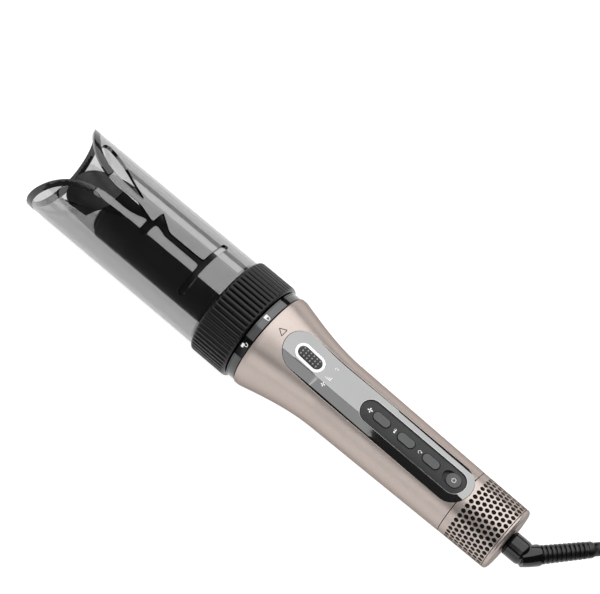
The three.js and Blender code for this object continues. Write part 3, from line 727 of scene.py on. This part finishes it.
def fan_icon():
    blade = closed_spline([(0.15, 0.05), (0.55, 0.55), (1.35, 0.6), (1.45, 0.15), (0.8, -0.1)], 5)
    return [turned_loop(blade, 90 * k) for k in range(4)]


def heat_icon():
    stem = stadium(-0.5, 1.6, 0.3, 8)
    bulb = arc_points(-0.9, 0, 0.62, 22, 338, 20)
    return [stem, bulb, *(bar(x, 0.75, x, 1.15, 0.2) for x in (0.2, 0.8, 1.4))]


def direction_icon():
    return [ring_loop(1.0, 0.26, -60, 190), [(0.1, -1.5), (1.05, -1.0), (0.15, -0.35)]]


def power_icon():
    return [ring_loop(1.15, 0.26, -240, 60), bar(0, 0.45, 0, 1.5, 0.26)]


def lock_icon(is_open):
    body = [(-1.15, -0.85), (-0.1, -0.85), (-0.1, 0.85), (-1.15, 0.85)]
    aside = 0.9 if is_open else 0
    shackle = [(x + 0.5, y + aside) for x, y in ring_loop(0.6, 0.26, -90, 90)]
    legs = [bar(-0.1, side + aside, 0.5, side + aside, 0.26) for side in (-0.6, 0.6)]
    return [body, shackle, *legs]


def level_icon():
    return [bar(k * 0.75, -0.6, k * 0.75, -0.6 + 0.45 * (k + 1), 0.36) for k in range(4)]


def stamp(icon, x, arc, size=1.0, turn=90):
    """An icon's loops, in millimetres, placed on the handle's flat drawing."""
    return [[(x + size * u * MM, arc + size * v * MM) for u, v in turned_loop(loop, turn)] for loop in icon]


PRINT_MM = 0.04  # the prints' thickness


def print_marks(name, loops, body, look, radius, lift_mm, scale):
    """Thin raised prints. Each loop is filled on its own, and all make one piece."""

    def raised(height_mm):
        return lambda x, angle: radius(x, angle) + height_mm * MM

    top, bottom = raised(lift_mm + PRINT_MM), raised(lift_mm)
    pieces = [
        shell_piece(f"{name}_{i}", [loop], top, bottom, look, step=0.0006, scale=scale, edge_mm=0)
        for i, loop in enumerate(loops)
    ]
    return finish_piece(join(name, pieces), body)


def join(name, pieces):
    """Several meshes as one piece, with their modifiers applied."""
    points, faces, material = [], [], pieces[0].data.materials[0]
    graph = bpy.context.evaluated_depsgraph_get()
    for piece in pieces:
        mesh = piece.evaluated_get(graph).to_mesh()
        first = len(points)
        points += [tuple(piece.matrix_world @ v.co) for v in mesh.vertices]
        faces += [tuple(first + i for i in p.vertices) for p in mesh.polygons]
    for piece in pieces:
        old = piece.data
        bpy.data.objects.remove(piece)
        bpy.data.meshes.remove(old)
    mesh = bpy.data.meshes.new(name)
    mesh.from_pydata(points, [], faces)
    mesh.materials.append(material)
    mesh.shade_smooth()
    whole = bpy.data.objects.new(name, mesh)
    bpy.context.scene.collection.objects.link(whole)
    keep_sharp(whole, 38)
    return whole


def handle_print(name, loops, body, look, lift_mm):
    print_marks(name, loops, body, look, handle_radius, lift_mm, ARC)


def icons():
    panel = [
        *stamp(fan_icon(), station(64.4), 0, 0.92),
        *stamp(heat_icon(), station(80.3), 0, 0.8),
        *stamp(direction_icon(), station(96), 0, 0.85),
    ]
    handle_print("bezel_icons", panel, "handle", "print_white", BEZEL_TOP)
    status = [
        *stamp(level_icon(), station(37.4), -1.6 * MM, 1.15, 0),
        *stamp(fan_icon(), station(38.6), -5.6 * MM, 0.75),
        *stamp(direction_icon(), station(38.6), 4.8 * MM, 0.75),
    ]
    handle_print("panel_icons", status, "handle", "print_white", PANEL_TOP)
    handle_print("power_icon", stamp(power_icon(), station(117.5), 0, 0.95), "power", "print_white", 0.14)
    # The triangle, engraved on the handle, is drawn as a thin dark brown film on its surface.
    corners = [(-1.55, -1.4), (1.35, 0), (-1.55, 1.4)]
    strokes = [bar(*corners[i], *corners[(i + 1) % 3], 0.32) for i in range(3)]
    mark = stamp(strokes, station(6.6), 0, 1.15, 180)
    handle_print("alignment_mark", mark, "handle", "mark_brown", 0.0)
    band_radius = (BAND_HIGH.z - BAND_LOW.z) / 2
    locks = []
    for is_open, size in ((False, 1.35), (True, 1.3)):
        arc = -math.radians(40) * band_radius if is_open else 0
        locks += stamp(lock_icon(is_open), station(-2.9), arc, size, 0)
    print_marks("lock_icons", locks, "attachment", "print_white", level(band_radius), 0.02, band_radius)


# ---- ring, band and the attachment's base -------------------------------------------------------
def grip_ring():
    """Rounded ribs that run along the ring and die out at its rounded ends."""
    ribs, per_rib = 60, 12
    low, high = RING_LOW.x, RING_HIGH.x
    depth, shoulder = 1.15 * MM, 1.7 * MM
    bore, wide_bore = 24.7 * MM, 26.25 * MM
    step_at = low + 8 * MM  # in front of this the bore is wide
    stations = [0, 0.12, 0.35, 0.7, 1.1, 1.6, 2.2, 3.2]
    xs = [low + s * MM for s in stations] + [high - s * MM for s in reversed(stations)]
    xs.insert(len(stations), (low + high) / 2)
    points = []
    count = ribs * per_rib
    for i in range(count):
        angle = i * TURN / count
        across = abs((i / per_rib) % 1 - 0.5) * 2  # 1 on the rib's crest, 0 in the valley
        groove = 1 - math.sqrt(1 - (1 - across) ** 2)
        for x in xs:
            end = min(x - low, high - x)
            dome = shoulder * (1 - math.sqrt(max(0, 1 - (1 - min(1, end / shoulder)) ** 2))) * 0.75
            fade = min(1, max(0, (end - 0.9 * MM) / (0.9 * MM)))
            points.append(on_wand(x, angle, RING_RADIUS - dome - depth * groove * fade))
        inside_line = ((high, bore), (step_at, bore), (step_at, wide_bore), (low, wide_bore))
        points += [on_wand(x, angle, radius) for x, radius in inside_line]
    ring = add_mesh("grip_ring_fluted", points, grid_faces(count, len(xs) + 4), "satin_black")
    face_outward(ring)
    keep_sharp(ring, 60)
    finish_piece(ring, "attachment", "grip_ring", slot="satin_black")


def lock_band():
    radius = (BAND_HIGH.z - BAND_LOW.z) / 2
    bore = 23.5 * MM  # clears the bayonet's lugs
    low, high = BAND_LOW.x, BAND_HIGH.x
    soft = 0.4 * MM
    groove = low + 0.9 * MM
    profile = [
        (low, bore),
        (low, radius - soft),
        (low + soft, radius),
        (groove, radius),
        (groove + 0.1 * MM, radius - 0.25 * MM),
        (groove + 0.3 * MM, radius - 0.25 * MM),
        (groove + 0.4 * MM, radius),
        (high - soft, radius),
        (high, radius - soft),
        (high, bore),
    ]
    band = turned("lock_band_gloss", profile, "band_gloss", 128, sharp=30)
    finish_piece(band, "attachment", "lock_band", slot="gloss_black")


# ---- the clear chamber --------------------------------------------------------------------------
CHAMBER_RADIUS = (CHAMBER_HIGH.z - CHAMBER_LOW.z) / 2
CHAMBER_WALL = 2.0 * MM
UNDERSIDE = CHAMBER_RADIUS * math.pi  # the chamber's arc from its top to its underside
RIM_WIDTH = 3.5 * MM
RIM_PROUD = 0.12 * MM
RIM_STARTS = station(-112)
SLIT_STARTS = station(-103)


def drum_arc(y, radius):
    """The arc on a drum at a distance to the side, seen from above."""
    return radius * math.asin(max(-1, min(1, y / radius)))


def plan_on_chamber(loop_mm, side=1):
    """A plan in millimetres, (station, y), on the chamber's flat drawing."""
    return [(station(x), side * drum_arc(y * MM, CHAMBER_RADIUS)) for x, y in loop_mm]


def scoop_edge():
    """One side's front edge, from the slit's funnel to the underside."""
    curve = bezier((-100, 3.1), (-122, 3.6), (-131, 12), (-141.6, 26.0), 60)
    edge = plan_on_chamber(curve)
    steps = 24
    end = edge[-1][1]
    edge[-1] = (FRONT_TIP, end)
    return edge + [(FRONT_TIP, end + (UNDERSIDE - end) * i / steps) for i in range(1, steps + 1)]


def moved_back(edge, distance):
    """The edge moved into the glass by some distance, square to itself."""
    line = np.array(edge)
    way = np.gradient(line, axis=0)
    way /= np.linalg.norm(way, axis=1)[:, None]
    back = line + distance * np.column_stack((way[:, 1], -way[:, 0]))
    back[:, 1] = np.minimum(back[:, 1], UNDERSIDE)
    return [tuple(p) for p in back]


def slit_loop():
    """The slit's outline in plan, from one side of the funnel round to the other, in millimetres."""
    upper = [(-103, 3.25), (-96, 3.5), (-90, 3.4), (-85.5, 2.3)]
    upper += [(-81.5, 1.2), (-80.2, 0.8), (-79.2, 0.85), (-78.9, 1.4)]
    hook = [(-78.6, 6.9), (-78.2, 7.45), (-77.6, 7.4), (-69.4, 2.0)]
    hook += [(-68.2, 1.65), (-48.4, 1.65), (-46.9, 2.0), (-46.4, 3.2)]
    bar_ends = arc_points(-44.8, 16.1, 1.6, 180, 0, 12) + arc_points(-44.8, -16.1, 1.6, 0, -180, 12)
    lower = [(-46.4, -3.2), (-46.9, -2.0), (-48.4, -1.65), (-68.2, -1.65)]
    lower += [(-69.6, -1.5), (-74.0, -0.2), (-75.4, 0.0)]
    notch_end = arc_points(-79.15, -5.5, 2.35, 0, -180, 12)[1:-1]
    notch = [(-76.4, -0.5), (-76.8, -1.6), (-76.8, -5.6), *notch_end, (-81.5, -5.6)]
    back = [(-81.5, -1.6), (-82.0, -0.9), (-83.5, -1.1), (-87, -2.3), (-91, -3.1), (-96, -3.4), (-103, -3.25)]
    return upper + hook + bar_ends + lower + notch + back


def chamber_plate(name, loops, look, step, proud=0.0, **shape):
    """A plate in the chamber's wall that may stand proud of both its faces."""
    outer, inner = level(CHAMBER_RADIUS + proud), level(CHAMBER_RADIUS - CHAMBER_WALL - proud)
    return shell_piece(name, loops, outer, inner, look, step, CHAMBER_RADIUS, segments=3, **shape)


def chamber():
    edge = scoop_edge()
    behind = moved_back(edge, RIM_WIDTH)
    rim_inner = [b for e, b in zip(edge, behind, strict=True) if e[0] <= RIM_STARTS]
    chamber_glass([*(e for e in edge if RIM_STARTS < e[0] < SLIT_STARTS), *rim_inner])
    chamber_rims([*(e for e in edge if e[0] <= RIM_STARTS), *reversed(rim_inner)])


def chamber_glass(side):
    side[-1] = (side[-1][0], UNDERSIDE)
    mirrored = [(x, -arc) for x, arc in side]
    slit = plan_on_chamber(slit_loop())
    rear = CHAMBER_HIGH.x
    loop = [(rear, -UNDERSIDE), (rear, UNDERSIDE), *reversed(side), *slit, *mirrored]
    leaf = [(-91, 6.6), (-110, 7.8), (-122, 11.6), (-127, 15.6), (-125.4, 19), (-114, 16.4), (-100, 10.6)]
    windows = [plan_on_chamber(closed_spline(leaf, 12), sign) for sign in (1, -1)]
    shape = {"wrap": UNDERSIDE, "edge_mm": 0.35}
    glass = chamber_plate("chamber_glass", [loop, *windows], "smoked_clear", 0.0016, **shape)
    finish_piece(glass, "attachment", "clear_chamber", slot="smoked_clear")


def chamber_rims(half):
    rims = []
    for sign in (1, -1):
        loop = [(x, sign * min(arc, UNDERSIDE)) for x, arc in half]
        rims.append(chamber_plate(f"rim_{sign}", [loop], "rim_smoke", 0.0014, RIM_PROUD, edge_mm=0.6))
    finish_piece(join("chamber_rim_band", rims), "attachment", "chamber_rim", slot="rim_smoke")


# ---- the barrel ---------------------------------------------------------------------------------
BARREL_RADIUS = 16 * MM
HAIRLINE = 0.01 * MM  # a turned piece's profile stops this near its axis


def barrel():
    low, high = BARREL_LOW.x, BARREL_HIGH.x
    soft = 0.5 * MM
    bore = BARREL_RADIUS - 1.8 * MM
    front = [(low, bore), (low, BARREL_RADIUS - soft), (low + soft, BARREL_RADIUS)]
    profile = [*front, (high, BARREL_RADIUS), (high, bore)]
    drum = turned("barrel_drum", profile, "barrel_black", 96, sharp=50)
    finish_piece(drum, "barrel", "barrel_shell", slot="barrel_black")
    nose = join("barrel_nose_finger", [barrel_finger(), barrel_plug()])
    finish_piece(nose, "barrel", "barrel_nose", slot="charcoal")


def barrel_finger():
    """The hooked finger at the barrel's front, from a plan in millimetres."""
    plan = [
        (-104.1, -4.7),
        (-111, -13.9),
        (-122, -14.4),
        *bezier((-122, -14.4), (-126, -14.2), (-127.1, -12), (-127.1, -8), 8)[1:],
        *bezier((-127.1, -8), (-127.1, 1), (-124, 5), (-118, 8.5), 10)[1:],
        *bezier((-118, 8.5), (-112, 12), (-108, 14), (-104.1, 15.2), 8)[1:],
    ]
    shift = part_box("barrel_nose")[0].x - station(-127.1)
    loop = [(station(x) + shift, drum_arc(y * MM, BARREL_RADIUS)) for x, y in plan]
    outer, inner = level(BARREL_RADIUS), level(BARREL_RADIUS - 2.9 * MM)
    shape = {"edge_mm": 0.7, "segments": 3}
    return shell_piece("barrel_finger", [loop], outer, inner, "charcoal", 0.0011, BARREL_RADIUS, **shape)


def barrel_plug():
    low, high = station(-107), station(-97)
    radius = BARREL_RADIUS - 2.15 * MM
    front = [(low, HAIRLINE), (low, radius - MM), (low + MM, radius)]
    return turned("barrel_plug", [*front, (high, radius), (high, HAIRLINE)], "charcoal", 72)


# ---- the filter cap -----------------------------------------------------------------------------
CAP_RADIUS = (CAP_HIGH.z - CAP_LOW.z) / 2
CAP_END_RADIUS = 17.8 * MM
LIP = 2.6 * MM
CAP_WALL = 1.4 * MM
HOLE_RADIUS = 1.26  # millimetres
HOLE_ROWS = 8
HOLE_PITCH = 2.9 * MM
HOLES_AROUND = 38
SOLID_LENGTH = 1.9 * MM  # the wall beside the panel's nose has no holes


def cap_radius(x, _=0.0):
    share = (x - CAP_LOW.x) / (CAP_HIGH.x - CAP_LOW.x)
    return CAP_RADIUS + (CAP_END_RADIUS - CAP_RADIUS) * share


def cap_inside(x, _=0.0):
    return cap_radius(x) - CAP_WALL


def filter_cap():
    """The sleeve with its holes and its notch round the panel's nose, and the rounded lip at its end."""
    wrap = ARC * math.pi
    low, high = CAP_LOW.x, CAP_HIGH.x - LIP
    nose = PANEL_HIGH.x + 0.15 * MM
    half = (PANEL_HIGH.y - PANEL_LOW.y) / 2 + 0.15 * MM
    centre = nose - half
    reach = math.degrees(math.acos((low - centre) / half))
    notch = unrolled(arc_points(centre, 0, half, -reach, reach, 24))
    notch[0], notch[-1] = (low, notch[0][1]), (low, notch[-1][1])
    loop = [(low, -wrap), *notch, (low, wrap), (high, wrap), (high, -wrap)]
    holes = cap_holes(high, wrap, nose - SOLID_LENGTH, half * 1.15 + 1.4 * MM)
    shape = {"wrap": wrap, "edge_mm": 0.16, "segments": 1}
    wall = (cap_radius, cap_inside)
    sleeve = shell_piece("filter_cap_sleeve", [loop, *holes], *wall, "handle_lacquer", scale=ARC, **shape)
    finish_piece(sleeve, "filter", "filter_cap", slot="handle_lacquer")
    cap_lip(high + 0.12 * MM, CAP_HIGH.x)


def cap_holes(high, wrap, solid_x, solid_arc):
    """Rows of round holes in a staggered pattern, with none in the solid wall round the panel's nose."""
    circle = arc_points(0, 0, HOLE_RADIUS, 0, 360, 12)[:-1]
    first = high - 1.6 * MM - (HOLE_ROWS - 1) * HOLE_PITCH
    holes = []
    for row in range(HOLE_ROWS):
        x = first + row * HOLE_PITCH
        for k in range(HOLES_AROUND):
            arc = ((k + 0.5 * (row % 2) + 0.25) / HOLES_AROUND - 0.5) * 2 * wrap
            if x > solid_x or abs(arc) >= solid_arc:
                holes.append([(x + u * MM, arc + v * MM) for u, v in circle])
    return holes


def cap_lip(start, end):
    outer = cap_radius(start)
    bore = 7.4 * MM
    turns = np.linspace(0, math.pi / 2, 8)
    dome = [
        (start + (end - start) * (0.25 + 0.75 * math.sin(t)), outer - 2.4 * MM * (1 - math.cos(t)))
        for t in turns
    ]
    front = [(start, bore), (start, outer - 0.3 * MM), (start + 0.3 * MM, outer)]
    profile = [*front, *dome, (end, 9 * MM), (end - 0.5 * MM, bore)]
    lip = turned("filter_cap_lip", profile, "handle_lacquer", 112, sharp=55)
    finish_piece(lip, "filter")


# ---- cord swivel and strain relief --------------------------------------------------------------
PIVOT = Vector((station(166.4), 0, AXIS_Z))
RELIEF_WAY = Vector((0.636, 0.758, -0.141)).normalized()
RELIEF_LENGTH = 34.5 * MM
CORD_RADIUS = 3.5 * MM


def along(profile, origin, way, name, look, segments=40):
    """A turned piece whose axis leaves origin along way, from a profile of (distance, radius)."""
    side = way.cross(Vector((0, 0, 1))).normalized()
    other = way.cross(side)
    points = []
    for i in range(segments):
        angle = i * TURN / segments
        out = side * math.cos(angle) + other * math.sin(angle)
        points += [tuple(origin + way * d + out * r) for d, r in profile]
    n = len(profile)
    faces = grid_faces(segments, n, columns_meet=False)
    faces.append(tuple(i * n for i in range(segments)))
    faces.append(tuple(i * n + n - 1 for i in reversed(range(segments))))
    piece = add_mesh(name, points, faces, look)
    face_outward(piece)
    keep_sharp(piece, 40)
    return piece


KNUCKLE_RADIUS = 6.5 * MM
KNUCKLE_STARTS = station(155.3)
SHAFT_RADIUS = 4.9 * MM
ROUND_FROM = 0.62  # the knuckle is straight up to this share of its length
COLLAR = [(-3.5, 5.0), (0.5, 5.4), (5.6, 5.5), (6.6, 5.2), (6.9, 4.4)]  # millimetres


def knuckle_dome(start, end):
    """The knuckle's profile, as (x, radius), from its straight part round to its tip."""
    out = []
    for t in np.linspace(0.08, 1, 14):
        bulge = math.sqrt(max(0.0, 1 - max(0.0, (t - ROUND_FROM) / (1 - ROUND_FROM)) ** 2))
        out.append((start + (end - start) * t, KNUCKLE_RADIUS * bulge + 2 * HAIRLINE))
    return out


def swivel():
    low, start = station(140), KNUCKLE_STARTS
    dome = knuckle_dome(start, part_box("swivel_knuckle")[1].x)
    shaft = [(low, 2 * HAIRLINE), (low, SHAFT_RADIUS), (start - 0.3 * MM, SHAFT_RADIUS)]
    profile = [*shaft, (start, KNUCKLE_RADIUS - 0.5 * MM), *dome]
    knuckle = turned("knuckle_ball", profile, "knuckle_gloss", 64, closed=False, sharp=40)
    profile = [(distance * MM, radius * MM) for distance, radius in COLLAR]
    collar = along(profile, PIVOT, RELIEF_WAY, "collar", "knuckle_gloss", 48)
    ball = join("swivel_knuckle_ball", [knuckle, collar])
    finish_piece(ball, "cord_swivel", "swivel_knuckle", slot="cord_rubber")
    relief()


def relief():
    """Rings and grooves along a tapering sleeve, and a chamfered end."""
    rings, first, last = 10, 7.4 * MM, RELIEF_LENGTH - 3.2 * MM
    pitch = (last - first) / rings
    profile = [(1.5 * MM, 3.9 * MM), (first, 3.9 * MM)]
    for i in range(rings):
        at = first + i * pitch
        radius = (4.75 - 0.5 * i / rings) * MM
        core = radius - 0.95 * MM
        soft = 0.18 * MM
        profile += [
            (at, core),
            (at + 0.05 * MM, radius - soft),
            (at + soft, radius),
            (at + pitch * 0.62 - soft, radius),
            (at + pitch * 0.62, radius - soft),
            (at + pitch * 0.66, core),
        ]
    end = RELIEF_LENGTH
    profile += [(last, 3.5 * MM), (last + 0.1 * MM, 4.15 * MM), (end - 1.1 * MM, 4.2 * MM), (end, 3.65 * MM)]
    sleeve = along(profile, PIVOT, RELIEF_WAY, "strain_relief_rings", "cord_rubber", 48)
    finish_piece(sleeve, "cord_swivel", "strain_relief", slot="cord_rubber")


# ---- the cord -----------------------------------------------------------------------------------
# The cord leaves the relief, sinks, and is folded into a tied hank of four layers just past the view.
# Stations, sideways distances, heights and lengths here are in millimetres.
EXIT = PIVOT + RELIEF_WAY * RELIEF_LENGTH
HANK_FRONT = (HANK_LOW.x - HANDLE_FRONT) / MM + 32.3  # station of the first end loop's middle
HANK_SIDE = (HANK_LOW.y + HANK_HIGH.y) / 2 / MM
HANK_STRAIGHT = (HANK_HIGH.x - HANK_LOW.x) / MM - 64.6
INNER_COLUMN = 21.6
OUTER_COLUMN = 28.7
COLUMN_STEP = OUTER_COLUMN - INNER_COLUMN
FIRST_LAYER = 4.65
LAYER_STEP = 7.05
MOVE_LENGTH = 0.2  # a change of column or layer takes this share of a turn
MOVE_OFFSET = 0.06  # each change comes this much earlier in its turn than the one before
# What the cord does at the end of each turn; the last move lifts it onto the hank, to the plug.
MOVES = ("in", "up", "out", "up", "in", "up", "out")
PLUG_RISE = 1.62  # layers
PLUG_SHIFT = 0.6  # columns
HANK_TURNS = 7.582


def eased(value):
    value = min(1.0, max(0.0, value))
    return value * value * (3 - 2 * value)


def column_and_layer(turns):
    """Which column, 0 to 1 outward, and which layer, from 0, the cord has reached after so many turns."""
    column, tier = 1.0, 0.0
    for i, move in enumerate(MOVES):
        share = eased((turns - (i + 1 - i * MOVE_OFFSET - MOVE_LENGTH)) / MOVE_LENGTH)
        column += {"in": -share, "out": share}.get(move, 0)
        tier += share if move == "up" else 0
    share = eased((turns - HANK_TURNS + 0.25) / 0.25)
    return column - PLUG_SHIFT * share, tier + PLUG_RISE * share


def hank_point(turns):
    """The cord's place after so many turns of the hank, which run clockwise from above."""
    column, tier = column_and_layer(turns)
    radius = INNER_COLUMN + COLUMN_STEP * column
    arc = math.pi * (INNER_COLUMN + OUTER_COLUMN) / 2
    way = (turns % 1) * 2 * (HANK_STRAIGHT + arc)
    front, back = HANK_FRONT, HANK_FRONT + HANK_STRAIGHT
    if way < HANK_STRAIGHT:
        x, y = front + way, radius
    elif way < HANK_STRAIGHT + arc:
        angle = (way - HANK_STRAIGHT) / arc * math.pi
        x, y = back + radius * math.sin(angle), radius * math.cos(angle)
    elif way < 2 * HANK_STRAIGHT + arc:
        x, y = back - (way - HANK_STRAIGHT - arc), -radius
    else:
        angle = (way - 2 * HANK_STRAIGHT - arc) / arc * math.pi
        x, y = front - radius * math.sin(angle), -radius * math.cos(angle)
    return Vector((station(x), (HANK_SIDE + y) * MM, (FIRST_LAYER + LAYER_STEP * tier) * MM))


LEAD_STRAIGHT = 13.6
LEAD_BEND = 34
LEAD_SINKS_OVER = 62


def lead_points():
    """Straight out of the relief, round to the wand's own direction, and down to the hank's lowest layer."""
    heading = math.atan2(RELIEF_WAY.y, RELIEF_WAY.x)
    slope = RELIEF_WAY.z / math.hypot(RELIEF_WAY.x, RELIEF_WAY.y)
    start_x, start_y, start_z = (EXIT.x - HANDLE_FRONT) / MM, EXIT.y / MM, EXIT.z / MM
    turned_length = LEAD_BEND * heading
    corner_x = start_x + LEAD_STRAIGHT * math.cos(heading) + LEAD_BEND * math.sin(heading)
    corner_y = HANK_SIDE + OUTER_COLUMN - LEAD_BEND
    whole = LEAD_STRAIGHT + turned_length + HANK_FRONT - corner_x
    points = []
    for i in range(20):
        way = whole * i / 20
        if way < LEAD_STRAIGHT:
            x, y = start_x + way * math.cos(heading), start_y + way * math.sin(heading)
        elif way < LEAD_STRAIGHT + turned_length:
            angle = heading - (way - LEAD_STRAIGHT) / LEAD_BEND
            x, y = corner_x - LEAD_BEND * math.sin(angle), corner_y + LEAD_BEND * math.cos(angle)
        else:
            x, y = corner_x + way - LEAD_STRAIGHT - turned_length, corner_y + LEAD_BEND
        t = min(1, way / LEAD_SINKS_OVER)
        z = start_z + (FIRST_LAYER - start_z) * eased(t) + slope * LEAD_SINKS_OVER * t * (1 - t) ** 2
        points.append(Vector((station(x), y * MM, z * MM)))
    return points


def tube_mesh(name, line, radius, look, sides=12):
    """A tube along a line, with its section carried along without twist."""
    points = []
    count = len(line)
    normal = (line[1] - line[0]).normalized().orthogonal()
    for i, p in enumerate(line):
        way = (line[min(i + 1, count - 1)] - line[max(i - 1, 0)]).normalized()
        normal = (normal - way * normal.dot(way)).normalized()
        other = way.cross(normal)
        for s in range(sides):
            a = s * TURN / sides
            points.append(tuple(p + (normal * math.cos(a) + other * math.sin(a)) * radius))
    faces = grid_faces(count, sides, rows_meet=False) + end_caps(count, sides)
    return add_mesh(name, points, faces, look)


def cord():
    steps = 260
    line = lead_points() + [hank_point(HANK_TURNS * i / steps) for i in range(steps + 1)]
    line.append(Vector((PLUG_HIGH.x - 2 * MM, line[-1].y, line[-1].z)))
    piece = tube_mesh("mains_cord", line, CORD_RADIUS, "cord_rubber", 14)
    face_outward(piece)
    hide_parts("cord_lead", "cord_hank", "cord_tail")
    tie_strap()
    plug_piece()
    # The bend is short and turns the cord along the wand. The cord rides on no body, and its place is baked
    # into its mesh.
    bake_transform(piece)


def tie_strap():
    """A soft strap round the hank, in the shape of the turns that it holds."""
    low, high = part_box("cord_tie")
    middle_y, middle_z = (low.y + high.y) / 2, (low.z + high.z) / 2
    half_y, half_z = (high.y - low.y) / 2, (high.z - low.z) / 2
    corner, thin = 5 * MM, 0.8 * MM
    loop = []
    for side_y, side_z, start in ((1, 1, 0), (-1, 1, 90), (-1, -1, 180), (1, -1, 270)):
        centre = (side_y * (half_y - corner), side_z * (half_z - corner))
        loop += arc_points(*centre, corner, start, start + 90, 8)
    points = []
    for y, z in loop:
        outer = (middle_y + y, middle_z + z)
        inner = (middle_y + y * (1 - thin / half_y), middle_z + z * (1 - thin / half_z))
        points += [(low.x, *outer), (high.x, *outer), (high.x, *inner), (low.x, *inner)]
    strap = add_mesh("cord_tie_strap", points, grid_faces(len(loop), 4), "charcoal")
    face_outward(strap)
    rounded_edges(strap, 0.2)
    finish_piece(strap, "handle", "cord_tie", slot="charcoal")


def plug_piece():
    """A moulded two-pin plug: a ribbed neck that swells into a rounded block, its pins towards the wand."""
    low, high = PLUG_LOW, PLUG_HIGH
    length, half_y, half_z = high.x - low.x, (high.y - low.y) / 2, (high.z - low.z) / 2
    centre_y, centre_z = (high.y + low.y) / 2, (high.z + low.z) / 2
    neck, groove, soft = 5.2 * MM, 0.7 * MM, 1.2 * MM
    # Shares of the length from the neck. The second list is the grooves' floors.
    stations = [0, 0.03, 0.1, 0.12, 0.15, 0.17, 0.24, 0.26, 0.29, 0.31]
    stations += [0.36, 0.44, 0.54, 0.64, 0.8, 0.94, 0.98, 1]
    floors = (0.12, 0.15, 0.26, 0.29)
    sides = 48
    points = []
    for t in stations:
        swell = eased((t - 0.2) / 0.42)
        inset = groove if t in floors else soft if t in (0, 1) else 0
        width = neck + (half_y - neck) * swell - inset
        height = neck + (half_z - neck) * swell - inset
        power = 2 + 2.5 * swell
        for k in range(sides):
            c, d = math.cos(k * TURN / sides), math.sin(k * TURN / sides)
            y = math.copysign(abs(c) ** (2 / power), c) * width
            z = math.copysign(abs(d) ** (2 / power), d) * height
            points.append((high.x - length * t, centre_y + y, centre_z + z))
    faces = grid_faces(len(stations), sides, rows_meet=False) + end_caps(len(stations), sides)
    body = add_mesh("plug_moulding", points, faces, "cord_rubber")
    face_outward(body)
    keep_sharp(body, 50)
    finish_piece(body, "handle", "plug_body", slot="cord_rubber")
    pins = [plug_pin(node) for node in ("plug_pin_left", "plug_pin_right")]
    finish_piece(join("plug_pins_pair", pins), "handle", "plug_pin_left", "plug_pin_right", slot="brass")


def plug_pin(node):
    low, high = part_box(node)
    origin = Vector((high.x, (low.y + high.y) / 2, (low.z + high.z) / 2))
    length, radius = high.x - low.x, (high.z - low.z) / 2
    turns = np.linspace(0, math.pi / 2, 6)
    dome = [(length - radius * (1 - math.sin(t)) * 0.9, radius * math.cos(t) + 0.05 * MM) for t in turns]
    sleeve = [(0, radius * 0.8), (length * 0.45, radius * 0.8), (length * 0.47, radius)]
    return along([*sleeve, *dome], origin, Vector((-1, 0, 0)), node + "_rod", "brass", 24)


# ---- what the CAD nodes themselves wear ---------------------------------------------------------
def dress_nodes():
    """Every CAD node that still shows gets its slot's material."""
    slots = {row["node"]: row["material_slot"] for row in frame["record"]["subparts"]}
    special = {"inner_filter": "filter_mesh", "lock_band": "band_gloss"}
    special.update(barrel_bearing="charcoal", curl_motor="charcoal")
    for name, node in frame["nodes"].items():
        node.data.materials.clear()
        node.data.materials.append(LOOK[special.get(name, slots[name])])


# ---- the studio ---------------------------------------------------------------------------------
def softbox(name, start, end, x0, x1, distance, brightness):
    """A flat softbox beside the wand: from start to end degrees above the camera, and station x0 to x1."""
    half = math.radians((end - start) / 2)
    turn = math.radians((start + end) / 2)
    toward = (TO_CAMERA - Vector((TO_CAMERA.x, 0, 0))).normalized()
    way = toward * math.cos(turn) + ACROSS * math.sin(turn)
    up = ACROSS * math.cos(turn) - toward * math.sin(turn)
    data = bpy.data.lights.new(name, "AREA")
    data.shape = "RECTANGLE"
    data.size, data.size_y = (x1 - x0) * MM, 2 * distance * math.tan(half)
    data.energy = brightness * math.pi * data.size * data.size_y
    lamp = bpy.data.objects.new(name, data)
    bpy.context.scene.collection.objects.link(lamp)
    centre = Vector((station((x0 + x1) / 2), 0, AXIS_Z)) + way * distance
    axes = Matrix((Vector((1, 0, 0)), up, way)).transposed()
    lamp.matrix_world = Matrix.Translation(centre) @ axes.to_4x4()


def studio():
    world = bpy.data.worlds.new("studio")
    bpy.context.scene.world = world
    world.use_nodes = True
    background = world.node_tree.nodes["Background"]
    background.inputs["Color"].default_value = (1.0, 1.0, 1.0, 1)
    background.inputs["Strength"].default_value = 0.05
    bpy.context.scene.view_settings.view_transform = "Standard"
    corners = [(-4, -4, 0), (4, -4, 0), (4, 4, 0), (-4, 4, 0)]
    floor = add_mesh("floor", corners, [(0, 1, 2, 3)], "floor", smooth=False)
    softbox("softbox_high", 9, 95, -900, 900, 1.2, 2.1)
    softbox("softbox_low", -21, 8, -75, 46, 0.25, 0.95)
    softbox("softbox_side", -68, -40, -240, 900, 1.2, 1.5)
    softbox("softbox_rear", -24, 8, 78, 800, 1.2, 0.95)
    softbox("softbox_front", -72, 8, -1300, -560, 1.2, 1.2)


handle_shells()
control_panel()
button_bezel()
keys()
trigger()
icons()
grip_ring()
lock_band()
chamber()
barrel()
filter_cap()
swivel()
cord()
dress_nodes()
studio()
